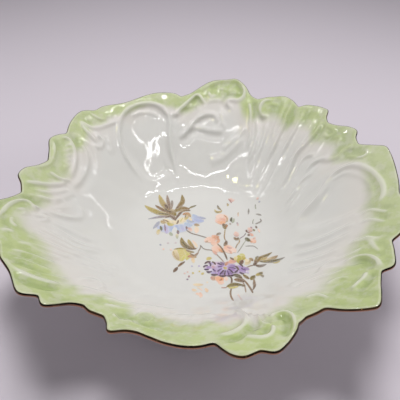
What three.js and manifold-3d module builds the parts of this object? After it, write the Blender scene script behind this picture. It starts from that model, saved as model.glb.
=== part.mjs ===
// A moulded porcelain serving bowl with a scrolled rim, a foot ring, a gilt edge and printed flowers.
// Millimetres, +Z up. The origin is the centre of the foot ring, on the table.
// The bowl is seen from -Y, so +Y is its far side. Angles are counted from +X towards +Y.

import * as THREE from 'three';
import { mergeVertices } from 'three/addons/utils/BufferGeometryUtils.js';
import Module from 'manifold-3d';

const wasm = await Module();
wasm.setup();

// Driving dimensions of the bowl

const RIM_RADIUS = 131; // mean radius of the scrolled rim
const RIM_HEIGHT = 70; // height of the wall's inner face at the mean rim radius
const RIM_SLOPE = 32; // slope of the wall at the rim, in degrees from level
const RIM_EASE = 42; // how far the rim's slope is held down the wall
const RIM_THICKNESS = 2.4; // wall at the rim
const WELL_RADIUS = 50; // the flat floor inside
const WELL_EASE = 22.5; // how softly the floor turns up into the wall
const FLOOR_THICKNESS = 4.2; // porcelain under the well

// The foot

const FOOT_HEIGHT = 5.8; // height of the ring under the body
const FOOT_INSET = 0.5; // from the edge of the body's flat underside in to the ring
const FOOT_TOP_WIDTH = 5; // ring where it is luted to the body
const FOOT_REST_WIDTH = 2.6; // flat ground face that stands on the table

// The gold and the prints

const GILT_WIDTH = 0.6; // gold band over the cut edge
const GILT_CLEARANCE = 0.1; // between the cut edge and the gold
const PRINT_THICKNESS = 0.3; // fired enamel
const PRINT_CLEARANCE = 0.1; // between the glaze and the enamel

// Fineness of the meshes

const TURNS = 96; // flats round the bowl
const WALL_STEPS = 12; // flats up the wall
const SCROLL_STEPS = 2; // flats between two points of a scroll
const TRIM_MARGIN = 10; // how far trimming solids run past what they trim

// The rim is a row of scrolls. Each starts at a sharp notch and swells out and back to the next notch.
// A point is [degrees round the bowl, millimetres outside the mean rim radius].

const SCROLLS = [
  [[-8, 2], [-4, 3.6], [0, 5], [4, 6.6], [9, 8.6], [12, 9], [15, 4.2]],
  [[19, -1.8], [22, 0.4], [24, 4.6], [27, 4], [32, -0.4]],
  [[35, -1.8], [37, 1.2], [38.3, 6.4], [40, 6.8], [43, 6], [47, 3.6]],
  [[49, -0.4], [52, 2.8], [56, 4.6], [60, 2.2], [64, -1.2]],
  [[66, -3.2], [69, -1.2], [72, 5.4], [76, 10.8], [80, 9.8], [86, 7.2], [91, 0.8], [94, -3]],
  [[98, -5.4], [101, -1.8], [109, 0], [121, -2.6], [130, -0.2], [134, -0.8], [139, 2.8], [145, -0.6]],
  [[150, -6.2], [153, -3.6], [157, -2.6], [161, -7.6]],
  [[165.5, -11.8], [170, -9], [174, -3.8], [178, -2.6], [181, -6.2]],
  [[185, -8.4], [189, -3], [192, 3], [195, 8], [197.5, 10], [202, 8.4], [206, 5]],
  [[210, 2.4], [215, 4.4], [221, 4], [227, 7.4], [229, 6]],
  [[230.5, 0.6], [234, 3.6], [235.5, -2], [236.5, -9]],
  [[238.5, -12.8], [241, -11], [243, -11.6]],
  [[245, -12.4], [247.5, -7.6], [250, -1.4], [253, -7]],
  [[256, -7.6], [260, -4.4], [264, -1.6], [269, -0.6]],
  [[273, -3.6], [274.5, 2.6], [276, 7.2], [278, 9.4], [280, 8]],
  [[281.5, 6.6], [284, 10.2], [287, 6.6], [291, 0], [293, -4.6]],
  [[296, -8], [299, -7.4]],
  [[301.5, -7.2], [303, 0.8], [306, 9.4], [308, 11.6], [312, 7.2], [315, 3.6]],
  [[319.5, -0.4], [322, 3.8], [327, 1]],
  [[332, -2.4], [336, 2.6], [341, 4.8], [346, 4.4], [350, 2.4]],
];

// The prints. Each outline is a smooth closed line through [x, y] points in the well.

const CORNFLOWER = [
  [-48, 35], [-39, 48], [-29, 50.5], [-14, 53], [-4, 36], [4, 21], [9, -1], [5, -4], [-8, 5], [-30, 1],
  [-41, 7], [-36, 20],
];
const BUD = [[-23, -17], [-17, -9], [-9, -6], [-3, -14], [-4, -23], [-12, -27], [-19, -37], [-22, -34]];
const BLOSSOM_SPRAY = [
  [3.5, -8], [13, 2], [11, 17], [10, 32], [20, 46], [28, 50], [33, 42], [44, 43], [52, 26], [48, 12],
  [45, -3], [34, -9], [28, -19], [16, -21],
];
const VIOLET_POSY = [
  [1.5, -33], [9, -25], [22, -22.5], [32, -17.5], [41, -23], [39, -36], [46, -40], [31, -49], [37, -62],
  [22, -70], [19, -50], [8, -46],
];
const LEAF_SPRAY = [[43.5, -31], [48, -22], [54, -16], [59, -21], [65, -28], [56, -33]];
const SPRIG = [[-8, -50], [-2, -43], [5, -49], [0, -57]];

// Geometry helpers

// Turns a closed profile of [radius, height] points round +Z.
function lathe(profile) {
  const geometry = new THREE.LatheGeometry(profile, TURNS);
  return solid(geometry.rotateX(Math.PI / 2));
}

// Stands an outline up between two heights.
function prism(outline, bottom, top) {
  const shape = new THREE.Shape(outline);
  const geometry = new THREE.ExtrudeGeometry(shape, { depth: top - bottom, bevelEnabled: false });
  return solid(geometry.translate(0, 0, bottom));
}

// Joins a geometry's shared corners, drops the faces that close up on the axis, and makes a solid of it.
function solid(geometry) {
  geometry.deleteAttribute('normal');
  geometry.deleteAttribute('uv');
  const merged = mergeVertices(geometry, 1e-4);
  const corners = merged.index.array;
  const kept = [];
  for (let i = 0; i < corners.length; i += 3) {
    const [a, b, c] = corners.slice(i, i + 3);
    if (a !== b && b !== c && c !== a) kept.push(a, b, c);
  }
  return new wasm.Manifold(
    new wasm.Mesh({
      numProp: 3,
      vertProperties: merged.attributes.position.array,
      triVerts: new Uint32Array(kept),
    }),
  );
}

// Turns a finished solid back into a named mesh with its own material.
function mesh(name, made, look) {
  const { vertProperties, triVerts } = made.getMesh();
  const geometry = new THREE.BufferGeometry();
  geometry.setAttribute('position', new THREE.BufferAttribute(vertProperties, 3));
  geometry.setIndex(new THREE.BufferAttribute(triVerts, 1));
  geometry.computeVertexNormals();
  const piece = new THREE.Mesh(geometry, new THREE.MeshStandardMaterial(look));
  piece.name = name;
  return piece;
}

// The wall. Its inner face is one easy curve from the edge of the well up to the rim, then on straight.

const FLOOR_HEIGHT = FOOT_HEIGHT + FLOOR_THICKNESS;
const slope = THREE.MathUtils.degToRad(RIM_SLOPE);
const rim = new THREE.Vector2(RIM_RADIUS, RIM_HEIGHT);
const alongRim = new THREE.Vector2(Math.cos(slope), Math.sin(slope));
const innerCurve = new THREE.CubicBezierCurve(
  new THREE.Vector2(WELL_RADIUS, FLOOR_HEIGHT),
  new THREE.Vector2(WELL_RADIUS + WELL_EASE, FLOOR_HEIGHT),
  rim.clone().addScaledVector(alongRim, -RIM_EASE),
  rim,
);

const farthestScroll = Math.max(...SCROLLS.flat().map((point) => point[1]));
const reach = (farthestScroll + TRIM_MARGIN) / Math.cos(slope);
const innerWall = innerCurve.getPoints(WALL_STEPS);
innerWall.push(rim.clone().addScaledVector(alongRim, reach));

// The outer face lies the wall's thickness away, which thins evenly from the floor to the rim.
const outerWall = innerWall.map((point, i) => {
  const step = Math.min(i / WALL_STEPS, 1);
  const along = innerCurve.getTangent(step);
  const thickness = THREE.MathUtils.lerp(FLOOR_THICKNESS, RIM_THICKNESS, step);
  return new THREE.Vector2(point.x + along.y * thickness, point.y - along.x * thickness);
});

const wall = lathe([
  new THREE.Vector2(0, FOOT_HEIGHT),
  ...outerWall,
  ...innerWall.toReversed(),
  new THREE.Vector2(0, FLOOR_HEIGHT),
]);
const top = innerWall.at(-1).y + TRIM_MARGIN;

// The rim's outline: a smooth line through each scroll, with its corners kept at the notches.
function rimOutline() {
  const outline = [];
  SCROLLS.forEach((scroll, i) => {
    const last = i === SCROLLS.length - 1;
    const [degrees, offset] = SCROLLS[(i + 1) % SCROLLS.length][0];
    const points = [...scroll, [last ? degrees + 360 : degrees, offset]];
    const curve = new THREE.SplineCurve(points.map((point) => new THREE.Vector2(...point)));
    curve.getPoints(scroll.length * SCROLL_STEPS).slice(0, -1).forEach((point) => {
      const angle = THREE.MathUtils.degToRad(point.x);
      const radius = RIM_RADIUS + point.y;
      outline.push(new THREE.Vector2(radius * Math.cos(angle), radius * Math.sin(angle)));
    });
  });
  return outline;
}

// Moves an outline outwards by the same distance all the way round, with mitred corners.
function widened(outline, distance) {
  return outline.map((point, i) => {
    const before = outline.at(i - 1);
    const after = outline[(i + 1) % outline.length];
    const inLine = point.clone().sub(before).normalize();
    const outLine = after.clone().sub(point).normalize();
    const mitre = new THREE.Vector2(inLine.y + outLine.y, -inLine.x - outLine.x);
    return point.clone().addScaledVector(mitre, distance / (1 + inLine.dot(outLine)));
  });
}

const edge = rimOutline();
const trimmed = prism(edge, 0, top);
const goldInside = prism(widened(edge, GILT_CLEARANCE), 0, top);
const goldOutside = prism(widened(edge, GILT_CLEARANCE + GILT_WIDTH), 0, top);

// The foot ring tapers from the body's flat underside, which is as wide as the well, to its ground face.
const footRadius = WELL_RADIUS - FOOT_INSET - FOOT_TOP_WIDTH / 2;
const foot = lathe([
  new THREE.Vector2(footRadius - FOOT_REST_WIDTH / 2, 0),
  new THREE.Vector2(footRadius + FOOT_REST_WIDTH / 2, 0),
  new THREE.Vector2(footRadius + FOOT_TOP_WIDTH / 2, FOOT_HEIGHT),
  new THREE.Vector2(footRadius - FOOT_TOP_WIDTH / 2, FOOT_HEIGHT),
  new THREE.Vector2(footRadius - FOOT_REST_WIDTH / 2, 0),
]);

// The prints are cut from one thin skin that follows the inner face.
function skinFace(rise) {
  const lifted = innerWall.map((point) => new THREE.Vector2(point.x, point.y + rise));
  return [new THREE.Vector2(0, FLOOR_HEIGHT + rise), ...lifted];
}

const skin = lathe([
  ...skinFace(PRINT_CLEARANCE),
  ...skinFace(PRINT_CLEARANCE + PRINT_THICKNESS).toReversed(),
]);

function print(points) {
  const curve = new THREE.CatmullRomCurve3(points.map(([x, y]) => new THREE.Vector3(x, y, 0)), true);
  const outline = curve.getPoints(points.length * SCROLL_STEPS).slice(0, -1);
  const flat = outline.map((point) => new THREE.Vector2(point.x, point.y));
  return skin.intersect(prism(THREE.ShapeUtils.isClockWise(flat) ? flat.reverse() : flat, 0, top));
}

const porcelain = { color: 0xd9d8d4, roughness: 0.12, metalness: 0 };
const bareFoot = { color: 0xd2cdc0, roughness: 0.5, metalness: 0 };
const gold = { color: 0x8a6a38, roughness: 0.3, metalness: 0.9 };
const enamel = (color) => ({ color, roughness: 0.2, metalness: 0 });

const bowl = new THREE.Group();
bowl.name = 'serving_bowl';
bowl.add(mesh('bowl_body', wall.intersect(trimmed), porcelain));
bowl.add(mesh('foot_ring', foot, bareFoot));
bowl.add(mesh('gilt_edge', wall.intersect(goldOutside).subtract(goldInside), gold));
bowl.add(mesh('cornflower_transfer', print(CORNFLOWER), enamel(0xa0afd7)));
bowl.add(mesh('bud_transfer', print(BUD), enamel(0xc8be6e)));
bowl.add(mesh('blossom_spray_transfer', print(BLOSSOM_SPRAY), enamel(0xe7ba9d)));
bowl.add(mesh('violet_posy_transfer', print(VIOLET_POSY), enamel(0xa4808c)));
bowl.add(mesh('leaf_spray_transfer', print(LEAF_SPRAY), enamel(0x928c76)));
bowl.add(mesh('sprig_transfer', print(SPRIG), enamel(0xebc4a0)));

export default bowl;
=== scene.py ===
import math

import bpy
import numpy as np
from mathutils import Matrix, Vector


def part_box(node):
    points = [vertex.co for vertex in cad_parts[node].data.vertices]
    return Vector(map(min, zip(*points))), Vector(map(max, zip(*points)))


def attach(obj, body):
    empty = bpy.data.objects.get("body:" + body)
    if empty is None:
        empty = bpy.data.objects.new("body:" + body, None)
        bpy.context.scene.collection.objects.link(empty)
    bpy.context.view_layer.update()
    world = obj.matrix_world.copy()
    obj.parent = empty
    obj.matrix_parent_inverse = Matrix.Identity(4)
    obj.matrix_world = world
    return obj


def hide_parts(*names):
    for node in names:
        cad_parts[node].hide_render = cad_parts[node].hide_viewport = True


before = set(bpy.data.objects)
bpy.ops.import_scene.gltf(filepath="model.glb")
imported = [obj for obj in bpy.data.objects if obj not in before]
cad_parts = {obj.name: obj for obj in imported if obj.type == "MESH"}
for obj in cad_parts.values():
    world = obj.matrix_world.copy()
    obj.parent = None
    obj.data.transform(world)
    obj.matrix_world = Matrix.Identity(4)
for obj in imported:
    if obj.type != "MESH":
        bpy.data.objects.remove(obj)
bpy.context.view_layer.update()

# ---------------------------------------------------------------------------------------------
# THE CAMERA. It stands a forearm's length in front of the bowl and looks down into it, close
# enough that the widest scrolls run out of the picture at both sides.
# ---------------------------------------------------------------------------------------------
camera_place = (0.0, -0.239, 0.252)
camera_dip = math.radians(40.6)
camera_data = bpy.data.cameras.new("camera")
camera_data.lens = 38.97
camera_data.sensor_width = 36.0
camera_data.clip_start = 0.01
camera = bpy.data.objects.new("camera", camera_data)
camera.location = camera_place
camera.rotation_euler = (math.pi / 2 - camera_dip, 0.0, 0.0)
bpy.context.collection.objects.link(camera)
bpy.context.scene.camera = camera

# ---------------------------------------------------------------------------------------------
# THE BODY. Hard white porcelain, pressed into a carved mould, trimmed to its scrolled rim and
# dipped in clear glaze. The carving stands out inside and shows through softly outside.
# Sizes here are in millimetres, with the foot's middle at the origin.
# ---------------------------------------------------------------------------------------------
MM = 0.001
RIM_RADIUS = 131.0
RIM_HEIGHT = 70.0
RIM_SLOPE = math.radians(32)
RIM_EASE = 42.0
RIM_THICKNESS = 2.4
WELL_RADIUS = 50.0
WELL_EASE = 22.5
FOOT_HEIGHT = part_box("foot_ring")[1][2] / MM
FLOOR_HEIGHT = FOOT_HEIGHT + 4.2
OVERHANG = 20.0

COLUMNS = 810
FLAT_ROWS = 6
WALL_ROWS = 76
LIP_ROWS = 7

CARVING_SCALE = 1.12     # on the heights listed for the carving
CARVING_AT_EDGE = 0.35   # share of its height that is left at the trimmed edge
EDGE_FADE = 5.0          # millimetres in which it comes back to its full height
OUTSIDE_SHARE = 0.6      # share of it that shows through outside

# Each scroll of the rim runs from one sharp notch to the next: [degrees, millimetres past the mean rim].
SCROLLS = [
    [[-8, 2], [-4, 3.6], [0, 5], [4, 6.6], [9, 8.6], [12, 9], [15, 4.2]],
    [[19, -1.8], [22, 0.4], [24, 4.6], [27, 4], [32, -0.4]],
    [[35, -1.8], [37, 1.2], [38.3, 6.4], [40, 6.8], [43, 6], [47, 3.6]],
    [[49, -0.4], [52, 2.8], [56, 4.6], [60, 2.2], [64, -1.2]],
    [[66, -3.2], [69, -1.2], [72, 5.4], [76, 10.8], [80, 9.8], [86, 7.2], [91, 0.8], [94, -3]],
    [[98, -5.4], [101, -1.8], [109, 0], [121, -2.6], [130, -0.2], [134, -0.8], [139, 2.8], [145, -0.6]],
    [[150, -6.2], [153, -3.6], [157, -2.6], [161, -7.6]],
    [[165.5, -11.8], [170, -9], [174, -3.8], [178, -2.6], [181, -6.2]],
    [[185, -8.4], [189, -3], [192, 3], [195, 8], [197.5, 10], [202, 8.4], [206, 5]],
    [[210, 2.4], [215, 4.4], [221, 4], [227, 7.4], [229, 6]],
    [[230.5, 0.6], [234, 3.6], [235.5, -2], [236.5, -9]],
    [[238.5, -12.8], [241, -11], [243, -11.6]],
    [[245, -12.4], [247.5, -7.6], [250, -1.4], [253, -7]],
    [[256, -7.6], [260, -4.4], [264, -1.6], [269, -0.6]],
    [[273, -3.6], [274.5, 2.6], [276, 7.2], [278, 9.4], [280, 8]],
    [[281.5, 6.6], [284, 10.2], [287, 6.6], [291, 0], [293, -4.6]],
    [[296, -8], [299, -7.4]],
    [[301.5, -7.2], [303, 0.8], [306, 9.4], [308, 11.6], [312, 7.2], [315, 3.6]],
    [[319.5, -0.4], [322, 3.8], [327, 1]],
    [[332, -2.4], [336, 2.6], [341, 4.8], [346, 4.4], [350, 2.4]],
]


def spline(points, steps):
    """A smooth line through the points, with this many steps between two of them."""
    points = np.array(points, float)
    ends = np.vstack([points[0], points, points[-1]])
    line = []
    for before, start, end, after in zip(ends, ends[1:], ends[2:], ends[3:]):
        t = np.linspace(0, 1, steps, endpoint=False)[:, None]
        leave, arrive = (end - before) / 2, (after - start) / 2
        line.append((2 * start - 2 * end + leave + arrive) * t**3
                    + (3 * end - 3 * start - 2 * leave - arrive) * t**2 + leave * t + start)
    return np.vstack(line + [points[-1:]])


def smoothstep(low, high, value):
    t = np.clip((value - low) / (high - low), 0, 1)
    return t * t * (3 - 2 * t)


def around(values, reach):
    """Averages a closed row of values with its neighbours, to soften it over this many columns."""
    weights = np.exp(-0.5 * (np.arange(-3 * reach, 3 * reach + 1) / reach) ** 2)
    weights /= weights.sum()
    return sum(w * np.roll(values, k, axis=0) for w, k in zip(weights, range(-3 * reach, 3 * reach + 1)))


# The inner face rises from the edge of the well in one easy curve, and runs on straight past the rim.
t = np.linspace(0, 1, 1500)[:, None]
lean = np.array([math.cos(RIM_SLOPE), math.sin(RIM_SLOPE)])
rim_point = np.array([RIM_RADIUS, RIM_HEIGHT])
profile = ((1 - t) ** 3 * [WELL_RADIUS, FLOOR_HEIGHT]
           + 3 * t * (1 - t) ** 2 * [WELL_RADIUS + WELL_EASE, FLOOR_HEIGHT]
           + 3 * t**2 * (1 - t) * (rim_point - RIM_EASE * lean)
           + t**3 * rim_point)
profile = np.vstack([[0, FLOOR_HEIGHT], profile, rim_point + lean * OVERHANG])
profile_slope = np.gradient(profile[:, 1], profile[:, 0])


def wall_height(radius):
    return np.interp(radius, profile[:, 0], profile[:, 1])


def wall_slope(radius):
    return np.arctan(np.interp(radius, profile[:, 0], profile_slope))


def rim_outline(columns):
    """The trimmed edge as evenly spaced points."""
    turns = []
    for i, scroll in enumerate(SCROLLS):
        following = SCROLLS[(i + 1) % len(SCROLLS)][0]
        closing = [following[0] + (360 if i == len(SCROLLS) - 1 else 0), following[1]]
        turns.append(spline(scroll + [closing], 12)[:-1])
    turns = np.vstack(turns)
    angle, radius = np.radians(turns[:, 0]), RIM_RADIUS + turns[:, 1]
    line = np.stack([radius * np.cos(angle), radius * np.sin(angle)], 1)
    line = np.vstack([line, line[:1]])
    length = np.append(0, np.cumsum(np.linalg.norm(np.diff(line, axis=0), axis=1)))
    even = np.linspace(0, length[-1], columns, endpoint=False)
    return np.stack([np.interp(even, length, line[:, k]) for k in (0, 1)], 1)


# The mould's carving is a height in millimetres over the plain wall, at any [x, y] in the bowl.
def along(points, x, y, reach):
    """Distance from a line, side of it, and place along it from 0 to 1, for the points near it."""
    line = spline(points, 8)
    near = ((x > line[:, 0].min() - reach) & (x < line[:, 0].max() + reach)
            & (y > line[:, 1].min() - reach) & (y < line[:, 1].max() + reach))
    px, py = x[near], y[near]
    best = np.full(px.shape, 1e9)
    side = np.zeros(px.shape)
    place = np.zeros(px.shape)
    total = len(line) - 1
    for k in range(total):
        (ax, ay), (bx, by) = line[k], line[k + 1]
        dx, dy = bx - ax, by - ay
        share = np.clip(((px - ax) * dx + (py - ay) * dy) / (dx * dx + dy * dy + 1e-12), 0, 1)
        gx, gy = px - ax - share * dx, py - ay - share * dy
        distance = gx * gx + gy * gy
        closer = distance < best
        best = np.where(closer, distance, best)
        side = np.where(closer, np.sign(dx * gy - dy * gx), side)
        place = np.where(closer, (k + share) / total, place)
    return near, np.sqrt(best), side, place


def ridge(points, width, height, scoop=0.0):
    """A rolled ridge along a line. A scoop hollows the clay to the left of it, or to the right if below 0."""
    def carve(x, y, rise):
        near, distance, side, place = along(points, x, y, 3.2 * width)
        ends = smoothstep(0, 0.16, place) * smoothstep(1, 0.84, place)
        crown = np.exp(-((distance / (0.55 * width)) ** 2))
        left = side * distance * (1 if scoop >= 0 else -1)
        hollow = np.exp(-(((left - 1.5 * width) / width) ** 2))
        rise[near] += ends * (height * crown - abs(scoop) * hollow)
    return carve


def panel(points, depth, soft):
    """A smooth sunk panel inside a closed line, easing down from its edge over a soft width."""
    def carve(x, y, rise):
        closed = points + points[:1]
        near, distance = along(closed, x, y, 2.0)[:2]
        line = spline(closed, 8)
        px, py = x[near], y[near]
        inside = np.zeros(px.shape, bool)
        for (ax, ay), (bx, by) in zip(line, line[1:]):
            crosses = (ay > py) != (by > py)
            run = (bx - ax) * (py - ay) / (by - ay if by != ay else 1e-9) + ax
            inside ^= crosses & (px < run)
        rise[near] -= np.where(inside, depth * smoothstep(0, soft, distance), 0)
    return carve


def flutes(start, end, count, swirl, low, high, depth):
    """A fan of hollow flutes between two angles, swirling by some degrees from the rim inwards."""
    def carve(x, y, rise):
        radius = np.hypot(x, y)
        degrees = np.degrees(np.arctan2(y, x))
        inward = np.clip((RIM_RADIUS - radius) / (RIM_RADIUS - low), -0.2, 1)
        middle = (start + end) / 2
        turned = (degrees - swirl * inward - middle + 180) % 360 - 180
        place = (turned + (end - start) / 2) / (end - start) * count
        flank = smoothstep(0, 0.35, place) * smoothstep(count, count - 0.35, place)
        fade = smoothstep(low, low + 0.55 * (high - low), radius)
        rise -= depth * flank * fade * np.sqrt(np.abs(np.sin(np.pi * place)) + 0.02)
    return carve


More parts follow.
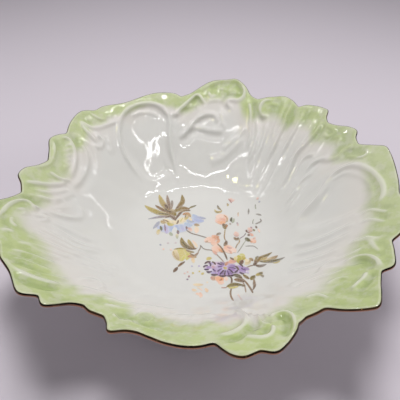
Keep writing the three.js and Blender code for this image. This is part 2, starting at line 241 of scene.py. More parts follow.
CARVING = [
    # the far crest scroll, its curl, its gable and the small leaves in it
    ridge([[-2, 127.6], [5.2, 132.8], [13.3, 136.4], [21.3, 138], [29.3, 137.6], [35.6, 135], [39.4, 130.2],
           [40.6, 124.4], [38.8, 120.4], [34, 118.6], [29, 119.6], [25.4, 119.4], [25, 116.6], [27.4, 114.4],
           [30.4, 114]], 2.5, 2.1, -1.2),
    ridge([[-30, 108.6], [-21.7, 109.6], [-18.4, 113.2], [-13.3, 117.6], [-8, 122.3], [-4.7, 125.3],
           [-0.8, 125.2], [2.5, 121.2], [6.4, 117.6]], 2.3, 2.0, -0.9),
    ridge([[8, 131], [8.4, 126.4], [11, 124], [14.6, 125.4]], 2.0, 1.2),
    ridge([[16, 133.6], [18.5, 130.6], [22.4, 129.6]], 1.8, 1.1),
    ridge([[6.6, 120.2], [14, 121], [21, 120.2]], 2.0, 1.0),
    ridge([[-14, 114.4], [-8, 117.4], [-2, 117.4]], 2.0, 0.9),
    ridge([[-21.4, 93.6], [-15.7, 95.6], [-11.8, 98.8], [-6.6, 104.4], [-1.4, 108.3], [3.8, 110.3],
           [9.1, 110.6], [14.3, 108.7], [15.2, 106], [11.4, 104.6]], 2.5, 2.0, -1.0),
    ridge([[-12, 98.8], [-5.3, 101.6], [1.2, 101], [7.7, 99.4], [15.5, 98.2], [22.4, 97.6]], 2.2, 1.4, -0.7),
    ridge([[17, 112], [20, 108], [20, 103], [24, 100]], 1.9, 0.9),
    ridge([[8, 77.6], [14, 78.8], [20.6, 80], [27, 82.8], [33.4, 86.8], [40, 90]], 4.1, 1.0),
    ridge([[20, 84.6], [28.4, 89.4], [36, 92.8], [41, 97.6]], 2.6, 1.2),
    # the scallop beside it
    ridge([[68, 110], [60.6, 113.1], [56, 112.2], [53.5, 108.9], [53.9, 104.1], [56, 101], [60.6, 99.6]],
          2.4, 2.0, -1.1),
    ridge([[61, 108.6], [65.5, 107.8], [70, 105.6]], 1.8, 1.1),
    ridge([[44.4, 115], [45.5, 109.8], [45.7, 103], [44.9, 96.8], [44.6, 89], [42, 81]], 2.2, 1.5, 0.7),
    ridge([[50.3, 108], [50.6, 98.4], [50.2, 90], [47, 79], [43, 71]], 2.2, 1.3, 0.6),
    ridge([[58, 96], [57, 88], [53, 79], [48, 70]], 2.2, 1.0, 0.5),
    # the fan of flutes to the right of it, and the ribs that run in from its spikes
    flutes(14, 62, 7, -10, 56, 128, 0.8),
    ridge([[81.6, 107.6], [80.4, 104], [78.5, 99.6], [75.4, 95.2], [72.9, 88.9], [68.5, 82.6], [63, 74],
           [57, 65]], 2.3, 1.7, 0.8),
    ridge([[74, 103], [70, 97], [66, 90], [62, 82]], 2.0, 1.0, 0.4),
    ridge([[90, 94], [86.4, 88], [81, 81], [75, 74], [68, 65]], 2.2, 1.2, 0.6),
    ridge([[104.4, 77.4], [99.6, 74.3], [96.7, 71.3], [92.6, 67.9], [87.3, 65.1], [82.1, 62.4], [78, 58.4],
           [74.6, 52.2], [70, 45], [64, 38]], 2.3, 1.8, 0.8),
    ridge([[103, 71], [106.6, 68.4], [108.6, 64], [106, 61], [102.4, 62.6], [102, 66.4]], 1.8, 1.3),
    ridge([[120.6, 40.6], [116, 42.6], [111, 42.8], [107.6, 40], [102.4, 41.4], [96, 45.8], [90, 46],
           [83, 41]], 2.2, 1.7, 0.7),
    ridge([[92.6, 52.6], [87.6, 54.8], [83.6, 53.6], [80, 49.6], [75, 44]], 2.0, 1.3, 0.5),
    ridge([[90, 38.6], [84.8, 38.2], [79.6, 35.1], [75, 30.4], [69, 25]], 2.0, 1.2, 0.5),
    ridge([[85.4, 32.6], [80.6, 28.4], [75.4, 24], [69, 17]], 2.0, 1.0),
    ridge([[112, 37], [116.6, 32.6], [119, 29], [123, 27.8], [125.4, 30.4], [124, 34.4]], 1.9, 1.4),
    ridge([[108, 50], [110.6, 53], [110, 57], [106.6, 58]], 1.8, 1.1),
    # the plain lobe at the right, with its double arch and the curls at its foot
    panel([[105, 24], [111, 23], [116.4, 18], [120.5, 11], [122, 2], [121.5, -7], [118.5, -15], [112, -20],
           [100, -20], [84, -14], [74, -4], [76, 6], [86, 13], [94, 20]], 1.5, 8),
    ridge([[70, 0], [76, 5.4], [83.4, 10.4], [89.6, 14.6], [93.8, 19.2], [98.8, 24], [104.7, 27],
           [111.1, 26.4], [117.6, 21.6], [122.6, 12.6], [125, 2.8], [125.3, -6.9], [123.6, -14.9],
           [119.6, -20.9], [115, -24.4]], 3.2, 1.8, -0.8),
    ridge([[80, 5], [88, 10], [95, 17], [101, 22], [108, 22], [113.6, 17.4], [117.8, 9], [119.4, -1],
           [118.4, -10], [114, -17.4]], 2.2, 0.9),
    ridge([[108, -25.4], [112, -23.6], [114.8, -25.4], [118.2, -30.9], [121, -33]], 2.1, 1.5, 0.7),
    ridge([[106.4, -33.4], [110, -33.4], [112, -34.9], [114.6, -39.4], [117, -42]], 2.1, 1.5, 0.7),
    ridge([[96, -47.4], [99.7, -48.8], [104.2, -51], [109.5, -55.8]], 2.3, 1.2, 0.6),
    ridge([[104.6, -45], [104.6, -53.6], [104, -61.3], [104.4, -68.7]], 2.2, 1.0),
    # the plain lobe at the far left, arched at the top and drawn in below
    panel([[-66, 95], [-61, 103], [-54, 108.5], [-44, 111.5], [-36, 110.5], [-30.5, 105], [-29.5, 96],
           [-29, 86],
           [-27, 76], [-24, 68], [-33, 60], [-46, 57], [-56, 63], [-64, 72], [-67, 82]], 1.7, 7),
    ridge([[-47, 54], [-53.1, 58.3], [-58.7, 62.6], [-63.7, 67.6], [-68, 74.4], [-69.9, 82], [-70, 90.1],
           [-68, 97.6], [-63, 104.6], [-56.6, 109.8], [-49.4, 112.6], [-44.4, 113.8], [-39.2, 113.8],
           [-33.6, 111.8], [-28.6, 107.4], [-27.2, 101], [-27.1, 94], [-26.6, 87.6], [-25.3, 81.1],
           [-22.8, 74.6], [-20.6, 67], [-17, 60]], 2.8, 1.9, -0.8),
    ridge([[-60, 99.6], [-56, 103.2], [-50, 105.8], [-43, 106.8], [-36.6, 105.2]], 2.2, 0.9),
    # the curls between that lobe and the left shoulder
    ridge([[-72.6, 95.4], [-73.3, 90], [-77, 87], [-82, 82.6], [-86, 79], [-91, 76.4], [-95.6, 77],
           [-99.6, 78.8]], 2.2, 1.7, -0.6),
    ridge([[-100.6, 78.6], [-97.2, 73.6], [-92.9, 70.4], [-88.9, 68.4], [-86, 66.4]], 2.0, 1.6, -0.5),
    ridge([[-88, 71.6], [-84.2, 72], [-81.8, 69.6], [-82.6, 65.6], [-85.3, 62.8], [-88, 64.4]], 2.0, 1.7),
    ridge([[-80.6, 76], [-76.4, 73], [-74.6, 68], [-77.6, 63.6]], 3.8, 0.8),
    ridge([[-96, 91], [-91, 88], [-85, 87], [-79.6, 89.6]], 2.0, 1.2),
    # the crescents and beads at the left edge
    ridge([[-113.6, 52.6], [-108.3, 57.4], [-104.7, 57.1], [-101.7, 53.2], [-99.5, 46.9], [-98.8, 39.8],
           [-99.3, 31.5], [-101, 23.7]], 2.4, 1.9, 1.1),
    ridge([[-99.4, 55], [-95.7, 57], [-92.9, 53.8], [-91.2, 48], [-91.2, 40.2], [-93, 32], [-95.4, 23],
           [-98, 16]], 2.5, 1.5, 0.9),
    ridge([[-107.4, 48.6], [-104.1, 54.4]], 1.7, 1.2),
    ridge([[-106.6, 44.6], [-102.9, 50.6]], 1.7, 1.2),
    ridge([[-105.9, 40.4], [-102, 46.3]], 1.7, 1.2),
    ridge([[-105.1, 36.3], [-101.4, 42.1]], 1.7, 1.2),
    ridge([[-104.6, 31.6], [-101, 37.1]], 1.7, 1.2),
    ridge([[-116.6, 50.4], [-114.3, 46.7], [-112.9, 41], [-113, 32.5], [-114.5, 26.2], [-117.7, 21.3],
           [-122.4, 15.3]], 2.1, 1.6, 0.6),
    ridge([[-113, 20.6], [-108.7, 18.9], [-103.5, 19.7], [-99.6, 23.4]], 2.1, 1.6, -0.5),
    ridge([[-124.6, -2], [-117.4, 2.7], [-110.5, 7.7], [-105, 13.8], [-101.8, 19.6]], 2.2, 1.7, -0.8),
    ridge([[-119.4, -4.4], [-110.8, -0.3], [-104.1, 6.5], [-99, 15.5]], 2.2, 1.3, -0.6),
    ridge([[-114.6, -9.2], [-106.9, -4.5], [-100.6, 4.2], [-96.1, 14.1]], 2.3, 1.1, -0.5),
    ridge([[-119.4, -13], [-114.7, -8.1], [-110.8, -5.8], [-107, -6]], 2.1, 1.1),
    ridge([[-103.9, -8.4], [-103.4, -3], [-100.6, 0.8], [-98, -2], [-99.8, -7], [-103.4, -9.6]], 2.0, 0.9),
    ridge([[-91.4, 5], [-88.4, 0], [-89.2, -6.4], [-94.6, -11.8], [-101, -15.4], [-106, -16]], 2.6, 1.1, 0.5),
    # the left crest scroll
    ridge([[-128, -56], [-126.6, -48], [-124.6, -38.8], [-124.4, -31.8], [-123, -25.3], [-120.4, -20],
           [-116.8, -17.3], [-114, -17.9], [-111.6, -20.6], [-113, -23.4]], 2.4, 2.0, 1.2),
    ridge([[-121, -27], [-118.1, -29], [-116.7, -25.8], [-115, -27.4], [-114.9, -31.1],
           [-117, -31.8]], 1.6, 1.3),
    ridge([[-112, -20.4], [-110.2, -17.6], [-108, -17.6], [-106.4, -19.9], [-104.6, -18.6]], 1.9, 1.6),
    ridge([[-111, -24.6], [-107.4, -25.9], [-104.2, -23.4], [-104.2, -26.7], [-106.4, -31]], 2.0, 1.7, -0.5),
    ridge([[-118.7, -37.4], [-118.6, -41.5], [-116.8, -44.5], [-113.6, -45.6]], 2.0, 1.5, -0.6),
    ridge([[-119.4, -55], [-116.6, -51.8], [-113.4, -52.6]], 1.9, 1.1),
    ridge([[-105, -30.6], [-96.6, -30.3], [-92.1, -30.6], [-87.4, -31.1], [-82, -30.6], [-76.8, -28.6],
           [-70.4, -23.4]], 3.6, 1.0, -0.5),
    ridge([[-101, -24.6], [-96.3, -24.5], [-90.2, -23.3], [-83.7, -23.1], [-77.6, -20.8]], 3.6, 0.8, -0.4),
    ridge([[-106, -38], [-98, -36.8], [-90.6, -37], [-84, -36.8], [-77.6, -33.6],
           [-71, -28]], 3.5, 0.9, -0.5),
    ridge([[-108, -44.6], [-101.7, -42.9], [-96, -42.2], [-90.2, -41.8], [-83.8, -42],
           [-76.4, -38]], 3.6, 1.0, -0.5),
    ridge([[-108, -51], [-101, -49.6], [-94, -48.6], [-86, -47.6], [-78, -43]], 3.6, 0.9, -0.5),
    ridge([[-107, -57], [-100.2, -55.7], [-93.8, -54.8], [-87.4, -53.8], [-80.4, -50]], 3.6, 1.0, -0.5),
    ridge([[-110, -61], [-104.3, -58.9], [-99.1, -60], [-92, -60.6], [-85, -58]], 2.4, 1.1, -0.5),
    ridge([[-110, -69.6], [-104, -67.7], [-98.9, -66.6], [-93.1, -67], [-86, -66.4]], 2.4, 1.2, -0.6),
    ridge([[-107, -76], [-101.5, -74.4], [-96.8, -74.4], [-91.1, -75.2], [-84, -77]], 2.4, 1.2, -0.6),
    ridge([[-103, -81], [-95.1, -81.5], [-88.9, -81.5], [-81.6, -80.4], [-75, -78]], 2.3, 1.0),
    ridge([[-109.4, -76.6], [-106.4, -80.6], [-101.3, -84.8], [-95.1, -87.4], [-88.6, -88.5], [-82.6, -88.4],
           [-76, -87.4]], 2.9, 2.0, -1.4),
    # the near wall at the left: fine ribs, then a small spiral
    ridge([[-84, -46.6], [-74.9, -44.9], [-66.4, -43.8], [-56.1, -40.4]], 4.2, 0.6),
    ridge([[-78, -57], [-67.5, -54.6], [-57.8, -50.6]], 4.2, 0.6),
    ridge([[-71.4, -75], [-67.8, -68.9], [-62.8, -67.6], [-59.6, -72.6], [-62, -77]], 3.5, 1.0),
    ridge([[-73, -87], [-65.4, -82.7], [-59.3, -82.2], [-52, -79]], 4.2, 0.9),
    ridge([[-46.6, -104.6], [-42.7, -109.2], [-37.4, -111.6]], 2.4, 1.2, 0.6),
    ridge([[-34, -105.4], [-32.6, -97.6], [-28, -96.6], [-25.6, -102], [-27.4, -107.4],
           [-31, -107]], 2.3, 1.3, -0.5),
    ridge([[-40, -106.6], [-37, -109.1], [-32.7, -112.5], [-27.1, -115.6], [-20, -116.4]], 2.4, 1.3, 0.7),
    ridge([[-58, -88.4], [-46.1, -88.3], [-36.8, -86.5], [-25.4, -84.8], [-12, -84]], 4.2, 0.8),
    ridge([[-54, -96], [-44, -96.6], [-36, -93.4]], 4.2, 0.8),
    ridge([[-20, -94], [-10, -92.6], [0, -93.4], [10, -92]], 4.2, 0.8),
    flutes(236, 268, 7, 6, 80, 126, 0.45),
    # the near scroll
    ridge([[21.6, -88.6], [23.6, -91.8], [25.1, -97.5], [24.9, -104.7], [22.8, -111.7], [19.1, -117.4],
           [14.5, -120.9], [8, -122.6]], 2.5, 2.2, 1.3),
    ridge([[28.2, -92], [28.4, -97], [27.5, -103.4], [26, -110.4], [24, -116]], 2.0, 1.3, 0.6),
    ridge([[31, -95.6], [31.6, -100.6], [31.4, -107.1], [33.2, -112.4], [36.6, -113.6]], 2.2, 1.6, 0.9),
    ridge([[35, -97], [35.6, -102], [35, -107.4]], 2.0, 1.2),
    ridge([[36.6, -108.6], [38.6, -104.6], [41.5, -102.4], [45.4, -102.2], [47.6, -106.6], [47.8, -112.9],
           [46.8, -118.4], [43.6, -125.6], [39.6, -129.4]], 2.4, 2.3, -1.4),
    ridge([[36.2, -113.6], [36, -119], [33.6, -124], [29, -125.8], [24.6, -124.6],
           [21, -121.6]], 2.2, 1.8, -0.9),
    # the right near side: long ribs, a folded scallop and the trough along the edge
    ridge([[68, -18], [74, -22.4], [81, -26.4], [89.4, -28.9], [97, -29.4], [104, -30]], 3.6, 1.0, 0.5),
    ridge([[66, -28], [74, -33], [83, -36.6], [92, -38], [101, -38.4]], 3.8, 0.9, 0.4),
    ridge([[64, -38], [72, -43], [81, -46.6], [90, -47.6]], 3.8, 0.9, 0.4),
    ridge([[60, -47], [68, -52], [77, -54.4], [86, -54.6]], 3.8, 0.9, 0.4),
    ridge([[74.4, -65], [77, -60], [81.6, -58], [87.6, -59.3], [94.6, -59], [101, -57]], 2.3, 1.4, 0.6),
    ridge([[55, -69.8], [65.2, -67.4], [73.8, -66.2], [81.3, -62]], 3.6, 1.0),
    ridge([[58, -75], [64.7, -73], [72, -72.3], [79.7, -73], [86, -72.6]], 2.4, 1.1, 0.5),
    ridge([[86, -66.6], [91.6, -64.6], [96.1, -65.4], [99.4, -69.6], [100.3, -76.4],
           [98.6, -83.4]], 2.4, 2.0, -1.3),
    ridge([[80.6, -95], [83.3, -93.2], [86.3, -90.5], [89.7, -87.6], [93.2, -82.6]], 1.9, 1.9, -1.2),
    ridge([[58, -94], [61.4, -91.6], [65.3, -91.8], [67.6, -97.5], [65, -101]], 2.2, 1.2, -0.5),
    ridge([[72, -84], [76, -81], [81, -80.6], [84.6, -84]], 2.2, 1.0),
    flutes(293, 312, 4, -6, 92, 132, 0.5),
]


def carving(x, y):
    """The carved height at these points, softened where it dies into the well."""
    flat_x, flat_y = x.ravel(), y.ravel()
    rise = np.zeros(flat_x.shape)
    for carve in CARVING:
        carve(flat_x, flat_y, rise)
    radius = np.hypot(flat_x, flat_y)
    angle = np.arctan2(flat_y, flat_x)
    swell = np.sin(11 * angle + 0.05 * radius)
    rise += 0.35 * smoothstep(55, 85, radius) * swell * smoothstep(132, 112, radius)
    rise *= smoothstep(54, 76, radius)
    # the hand-finished mould leaves the whole face about a tenth of a millimetre uneven
    for k in range(9):
        turn, length = 2.4 * k, 9.0 + 2.2 * k
        across = flat_x * math.cos(turn) + flat_y * math.sin(turn)
        rise += 0.0022 * length * np.sin(2 * math.pi * across / length + k)
    return rise.reshape(x.shape)


def body_grid():
    """The faces of the bowl as rows of [x, y, z] columns: inside, over the lip, and down the outside."""
    edge = rim_outline(COLUMNS)
    tangent = around(np.roll(edge, -1, axis=0) - np.roll(edge, 1, axis=0), 2)
    tangent /= np.linalg.norm(tangent, axis=1, keepdims=True)
    outward = np.stack([tangent[:, 1], -tangent[:, 0]], 1)
    lip = RIM_THICKNESS / 2
    trim = around(edge - outward * lip * (math.cos(RIM_SLOPE) + math.sin(RIM_SLOPE)), 1)
    angle = np.unwrap(np.arctan2(trim[:, 1], trim[:, 0]))
    even = angle.mean() + (np.arange(COLUMNS) - (COLUMNS - 1) / 2) * 2 * math.pi / COLUMNS
    well = WELL_RADIUS * np.stack([np.cos(even), np.sin(even)], 1)
    step = np.linspace(0, 1, WALL_ROWS + 1)[:, None, None]
    share = 0.5 * step + 0.5 * (1 - (1 - step) ** 1.6)
    plan = well * (1 - share) + trim * share
    flat = np.linspace(0.04, 1, FLAT_ROWS + 1)[:-1, None, None] * well
    plan = np.concatenate([flat, plan])
    x, y = plan[..., 0], plan[..., 1]
    radius = np.hypot(x, y)
    slope = wall_slope(radius)
    up = np.stack([-np.sin(slope) * x / radius, -np.sin(slope) * y / radius, np.cos(slope)], -1)
    from_edge = np.concatenate([np.full(FLAT_ROWS, 99.0), (1 - share[:, 0, 0]) * (RIM_RADIUS - WELL_RADIUS)])
    fade = CARVING_AT_EDGE + (1 - CARVING_AT_EDGE) * smoothstep(0, EDGE_FADE, from_edge)
    rise = CARVING_SCALE * carving(x, y) * fade[:, None]
    # the glaze fills the finest corners of the carving
    rise = 0.5 * rise + 0.25 * (np.roll(rise, 1, axis=1) + np.roll(rise, -1, axis=1))
    rise[1:-1] = 0.5 * rise[1:-1] + 0.25 * (rise[:-2] + rise[2:])
    plain = np.stack([x, y, wall_height(radius)], -1)
    inner = plain + up * rise[..., None]
    thickness = np.interp(radius, [WELL_RADIUS, RIM_RADIUS], [FLOOR_HEIGHT - FOOT_HEIGHT, RIM_THICKNESS])
    outer = plain + up * (OUTSIDE_SHARE * rise - thickness)[..., None]
    last, face = inner[-1], up[-1]
    run = around(np.roll(last, -1, axis=0) - np.roll(last, 1, axis=0), 2)
    away = np.cross(run, face)
    away /= np.linalg.norm(away, axis=1, keepdims=True)
    centre = (last + outer[-1]) / 2
    half = np.linalg.norm(last - outer[-1], axis=1, keepdims=True) / 2
    turns = np.linspace(0, math.pi, LIP_ROWS + 2)[1:-1]
    over = np.stack([centre + face * half * math.cos(a) + away * half * math.sin(a) for a in turns])
    return inner, over, outer[::-3], rise, centre, face, away, half


def shell_mesh(name, rows, cap_start=True, cap_end=True, close=False):
    """A smooth mesh over rows of points that each run once round the bowl. Its ends are capped or joined."""
    count, columns = rows.shape[:2]
    points = rows.reshape(-1, 3) * MM
    index = np.arange(count * columns).reshape(count, columns)
    if close:
        index = np.vstack([index, index[:1]])
    right = np.roll(index, -1, axis=1)
    quads = np.stack([index[:-1], index[1:], right[1:], right[:-1]], -1).reshape(-1, 4)
    faces = quads.tolist()
    if cap_start:
        faces.append(index[0].tolist())
    if cap_end:
        faces.append(index[-1][::-1].tolist())
    mesh = bpy.data.meshes.new(name)
    mesh.from_pydata(points.tolist(), [], faces)
    mesh.polygons.foreach_set("use_smooth", np.ones(len(mesh.polygons), bool))
    mesh.update()
    return mesh


def add_values(mesh, name, values):
    layer = mesh.attributes.new(name, "FLOAT", "POINT")
    layer.data.foreach_set("value", np.asarray(values, np.float32).ravel())


def add_piece(name, mesh, material):
    piece = bpy.data.objects.new(name, mesh)
    bpy.context.collection.objects.link(piece)
    mesh.materials.append(material)
    return piece


inner, over, outer, carved, lip_centre, lip_face, lip_away, lip_half = body_grid()
body_rows = np.concatenate([inner, over, outer])
body_mesh = shell_mesh("porcelain_body", body_rows)

# How far the sprayed green reaches in from the edge, and how thick it lies: [degrees, millimetres, strength].
SPRAY_REACH = [
    [0, 23, 0.72], [12, 22, 0.7], [30, 21, 0.75], [45, 22, 0.82], [60, 22, 0.85], [72, 21, 0.88],
    [84, 22, 0.86], [96, 17, 0.8], [106, 12, 0.8], [128, 12, 0.8], [140, 18, 0.8], [155, 20, 0.78],
    [165, 18, 0.76], [175, 21, 0.78], [186, 20, 0.8], [197, 27, 0.85], [212, 29, 0.9], [226, 33, 0.92],
    [240, 24, 0.92], [252, 31, 0.9], [263, 32, 0.92], [272, 31, 0.94], [282, 38, 0.95], [291, 32, 0.92],
    [298, 22, 0.88], [306, 38, 0.92], [314, 37, 0.9], [322, 31, 0.9], [334, 25, 0.82], [346, 25, 0.76],
    [360, 23, 0.72],
]


def sheet_distance(rows):
    """Distance in from the trimmed edge, measured down each column's wall."""
    steps = np.linalg.norm(np.diff(rows, axis=0), axis=2)
    down = np.cumsum(steps[::-1], axis=0)[::-1]
    return np.concatenate([down, np.zeros((1, rows.shape[1]))])


inner_reach = sheet_distance(inner)
body_angle = np.degrees(np.arctan2(body_rows[..., 1], body_rows[..., 0])) % 360
spray_angle, spray_width, spray_strength = np.array(SPRAY_REACH, float).T
spray = np.interp(body_angle, spray_angle, spray_width)
strength = np.interp(body_angle, spray_angle, spray_strength)
from_edge = np.concatenate([inner_reach, np.zeros(over.shape[:2]), sheet_distance(outer[::-1])[::-1]])
side = np.concatenate([np.ones(inner.shape[:2]), np.ones(over.shape[:2]), np.zeros(outer.shape[:2])])
heights = np.concatenate([carved, np.zeros(over.shape[:2]), np.zeros(outer.shape[:2])])
add_values(body_mesh, "edge", from_edge)
add_values(body_mesh, "spray", spray)
add_values(body_mesh, "strength", strength)
add_values(body_mesh, "carved", heights)
add_values(body_mesh, "inside", side)


def new_material(name):
    material = bpy.data.materials.new(name)
    material.use_nodes = True
    nodes, links = material.node_tree.nodes, material.node_tree.links
    return material, nodes, links, nodes["Principled BSDF"]


def srgb(red, green, blue):
    """A colour from its 0 to 255 values on a screen."""
    return [((c / 255 + 0.055) / 1.055) ** 2.4 if c > 10 else c / 3295 for c in (red, green, blue)] + [1.0]


def math_node(nodes, links, operation, first, second, third=None):
    node = nodes.new("ShaderNodeMath")
    node.operation = operation
    for socket, value in zip(node.inputs, (first, second, third)):
        if value is None:
            continue
        if isinstance(value, (int, float)):
            socket.default_value = value
        else:
            links.new(value, socket)
    return node.outputs[0]


def ramp_node(nodes, links, value, low, high, from_value=0.0, to_value=1.0):
    node = nodes.new("ShaderNodeMapRange")
    node.interpolation_type = "SMOOTHSTEP"
    for name, number in (("From Min", low), ("From Max", high), ("To Min", from_value), ("To Max", to_value)):
        node.inputs[name].default_value = number
    links.new(value, node.inputs["Value"])
    return node.outputs["Result"]


def mix_node(nodes, links, share, first, second):
    node = nodes.new("ShaderNodeMix")
    node.data_type = "RGBA"
    for socket, value in ((node.inputs[0], share), (node.inputs[6], first), (node.inputs[7], second)):
        if hasattr(value, "is_linked"):
            links.new(value, socket)
        else:
            socket.default_value = value
    return node.outputs[2]


def value_of(nodes, name):
    node = nodes.new("ShaderNodeAttribute")
    node.attribute_name = name
    return node.outputs["Fac"]


def noise_node(nodes, links, scale, detail=2.0, rough=0.5):
    place = nodes.new("ShaderNodeTexCoord")
    node = nodes.new("ShaderNodeTexNoise")
    node.inputs["Scale"].default_value = scale
    node.inputs["Detail"].default_value = detail
    node.inputs["Roughness"].default_value = rough
    links.new(place.outputs["Object"], node.inputs["Vector"])
    return node.outputs["Fac"]


def porcelain_glaze():
    material, nodes, links, shader = new_material("porcelain_glaze")
    white = srgb(219, 218, 214)
    blush = srgb(221, 217, 211)
    leaf_green = srgb(184, 198, 134)
    pooled_green = srgb(160, 177, 112)
    thin_green = srgb(217, 220, 198)
    pale_edge_and_highlight = srgb(222, 218, 206)
    edge = value_of(nodes, "edge")
    spray_reach = value_of(nodes, "spray")
    carved_height = value_of(nodes, "carved")
    inside = value_of(nodes, "inside")
    drift = noise_node(nodes, links, 38.0, 3.0, 0.55)
    wander = math_node(nodes, links, "MULTIPLY_ADD", drift, 12.0, -6.0)
    # how far past the spray's reach a point lies, as a share of it
    depth = math_node(nodes, links, "DIVIDE", math_node(nodes, links, "ADD", edge, wander), spray_reach)
    green = ramp_node(nodes, links, depth, 0.62, 1.25, 1.0, 0.0)
    green = math_node(nodes, links, "MULTIPLY", green, inside)
    # colour gathers in the hollows and runs thin over the ridges
    pooled = ramp_node(nodes, links, carved_height, 0.0, -1.4)
    thin = ramp_node(nodes, links, carved_height, 0.25, 1.15)
    cloud = noise_node(nodes, links, 95.0, 4.0, 0.65)
    pooled = math_node(nodes, links, "MULTIPLY_ADD", ramp_node(nodes, links, cloud, 0.46, 0.62), 0.5, pooled)
    patchy = ramp_node(nodes, links, noise_node(nodes, links, 130.0, 3.0, 0.6), 0.36, 0.56, 0.72, 1.0)
    green = math_node(nodes, links, "MULTIPLY", green, patchy)
    pooled = math_node(nodes, links, "MINIMUM", pooled, 1.0)
    tone = mix_node(nodes, links, pooled, leaf_green, pooled_green)
    tone = mix_node(nodes, links, math_node(nodes, links, "MULTIPLY", thin, 0.9), tone, thin_green)
    ground = mix_node(nodes, links, ramp_node(nodes, links, depth, 1.0, 2.3, 1.0, 0.0), white, blush)
    ground = mix_node(nodes, links, inside, white, ground)
    share = math_node(nodes, links, "MULTIPLY", green, value_of(nodes, "strength"))
    colour = mix_node(nodes, links, share, ground, tone)
    # a pale line along the edge: partly the green worn thin there, partly a painted highlight along the lip
    worn_edge_and_highlight = math_node(nodes, links, "MULTIPLY", ramp_node(nodes, links, edge, 0.0, 0.4, 1.0, 0.0), 0.25)
    colour = mix_node(nodes, links, worn_edge_and_highlight, colour, pale_edge_and_highlight)
    links.new(colour, shader.inputs["Base Color"])
    shader.inputs["Roughness"].default_value = 0.055
    shader.inputs["IOR"].default_value = 1.5
    bump = nodes.new("ShaderNodeBump")
    bump.inputs["Strength"].default_value = 0.15
    bump.inputs["Distance"].default_value = 0.0004
    links.new(noise_node(nodes, links, 120.0, 2.0, 0.5), bump.inputs["Height"])
    links.new(bump.outputs["Normal"], shader.inputs["Normal"])
    return material


glaze = porcelain_glaze()
body = add_piece("porcelain_body", body_mesh, glaze)
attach(body, "root")
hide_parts("bowl_body")

# ---------------------------------------------------------------------------------------------
# THE FOOT. A ring of the same clay, luted under the body and glazed with it. Its standing face
# is ground bare and has picked up a little grey from shelves and tables.
# ---------------------------------------------------------------------------------------------
FOOT_INSET = 0.5
FOOT_TOP_WIDTH = 5.0
FOOT_REST_WIDTH = 2.6
FOOT_COLUMNS = 240
foot_middle = WELL_RADIUS - FOOT_INSET - FOOT_TOP_WIDTH / 2
foot_section = [
    [FOOT_TOP_WIDTH / 2, FOOT_HEIGHT],
    [FOOT_TOP_WIDTH / 2 - 0.35, FOOT_HEIGHT - 1.2],
    [FOOT_TOP_WIDTH / 2 - 0.6, FOOT_HEIGHT - 2.6],
    [FOOT_REST_WIDTH / 2 + 0.35, 1.2],
    [FOOT_REST_WIDTH / 2 + 0.2, 0.5],
    [FOOT_REST_WIDTH / 2 - 0.1, 0.08],
    [FOOT_REST_WIDTH / 2 - 0.5, 0.0],
]
foot_section = foot_section + [[-across, height] for across, height in foot_section[::-1]]
round_angle = np.linspace(0, 2 * math.pi, FOOT_COLUMNS, endpoint=False)
foot_rows = np.array([[[(foot_middle + across) * math.cos(a), (foot_middle + across) * math.sin(a), height]
                       for a in round_angle] for across, height in foot_section])
foot_mesh = shell_mesh("foot_ring_ground", foot_rows, cap_start=False, cap_end=False, close=True)


def foot_glaze():
    material, nodes, links, shader = new_material("foot_glaze")
    position = nodes.new("ShaderNodeNewGeometry")
    split = nodes.new("ShaderNodeSeparateXYZ")
    links.new(position.outputs["Position"], split.inputs["Vector"])
    grit = noise_node(nodes, links, 900.0, 3.0, 0.6)
    line = math_node(nodes, links, "MULTIPLY_ADD", grit, 0.0006, split.outputs["Z"])
    bare = ramp_node(nodes, links, line, 0.0010, 0.0016, 1.0, 0.0)
    clay = mix_node(nodes, links, grit, srgb(214, 208, 194), srgb(186, 178, 164))
    links.new(mix_node(nodes, links, bare, srgb(230, 228, 222), clay), shader.inputs["Base Color"])
    links.new(ramp_node(nodes, links, bare, 0.0, 1.0, 0.1, 0.75), shader.inputs["Roughness"])
    return material


foot = add_piece("foot_ring_ground", foot_mesh, foot_glaze())
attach(foot, "root")
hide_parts("foot_ring")

# ---------------------------------------------------------------------------------------------
# THE GILDING. A brushed line of gold over the cut edge of the rim, fired on last and burnished.
# Its colour is painted shade: dark brown for the dark it reflects, with painted highlights in copper
# along its outer half and in a few bright flecks.
# ---------------------------------------------------------------------------------------------
GOLD_FROM, GOLD_TO = math.radians(52), math.radians(158)
GOLD_LIFT, GOLD_THICKNESS = 0.04, 0.12
GOLD_ROWS = 9
gold_turn = np.linspace(GOLD_FROM, GOLD_TO, GOLD_ROWS)


def gold_row(turn, lift):
    return lip_centre + (lip_half + lift) * (lip_face * math.cos(turn) + lip_away * math.sin(turn))


gold_top = [gold_row(turn, GOLD_LIFT + GOLD_THICKNESS) for turn in gold_turn]
gold_under = [gold_row(turn, GOLD_LIFT) for turn in gold_turn[::-1]]
gold_mesh = shell_mesh("gilt_line", np.stack(gold_top + gold_under), False, False, True)
add_values(gold_mesh, "across", np.repeat(np.append(gold_turn, gold_turn[::-1]), COLUMNS))


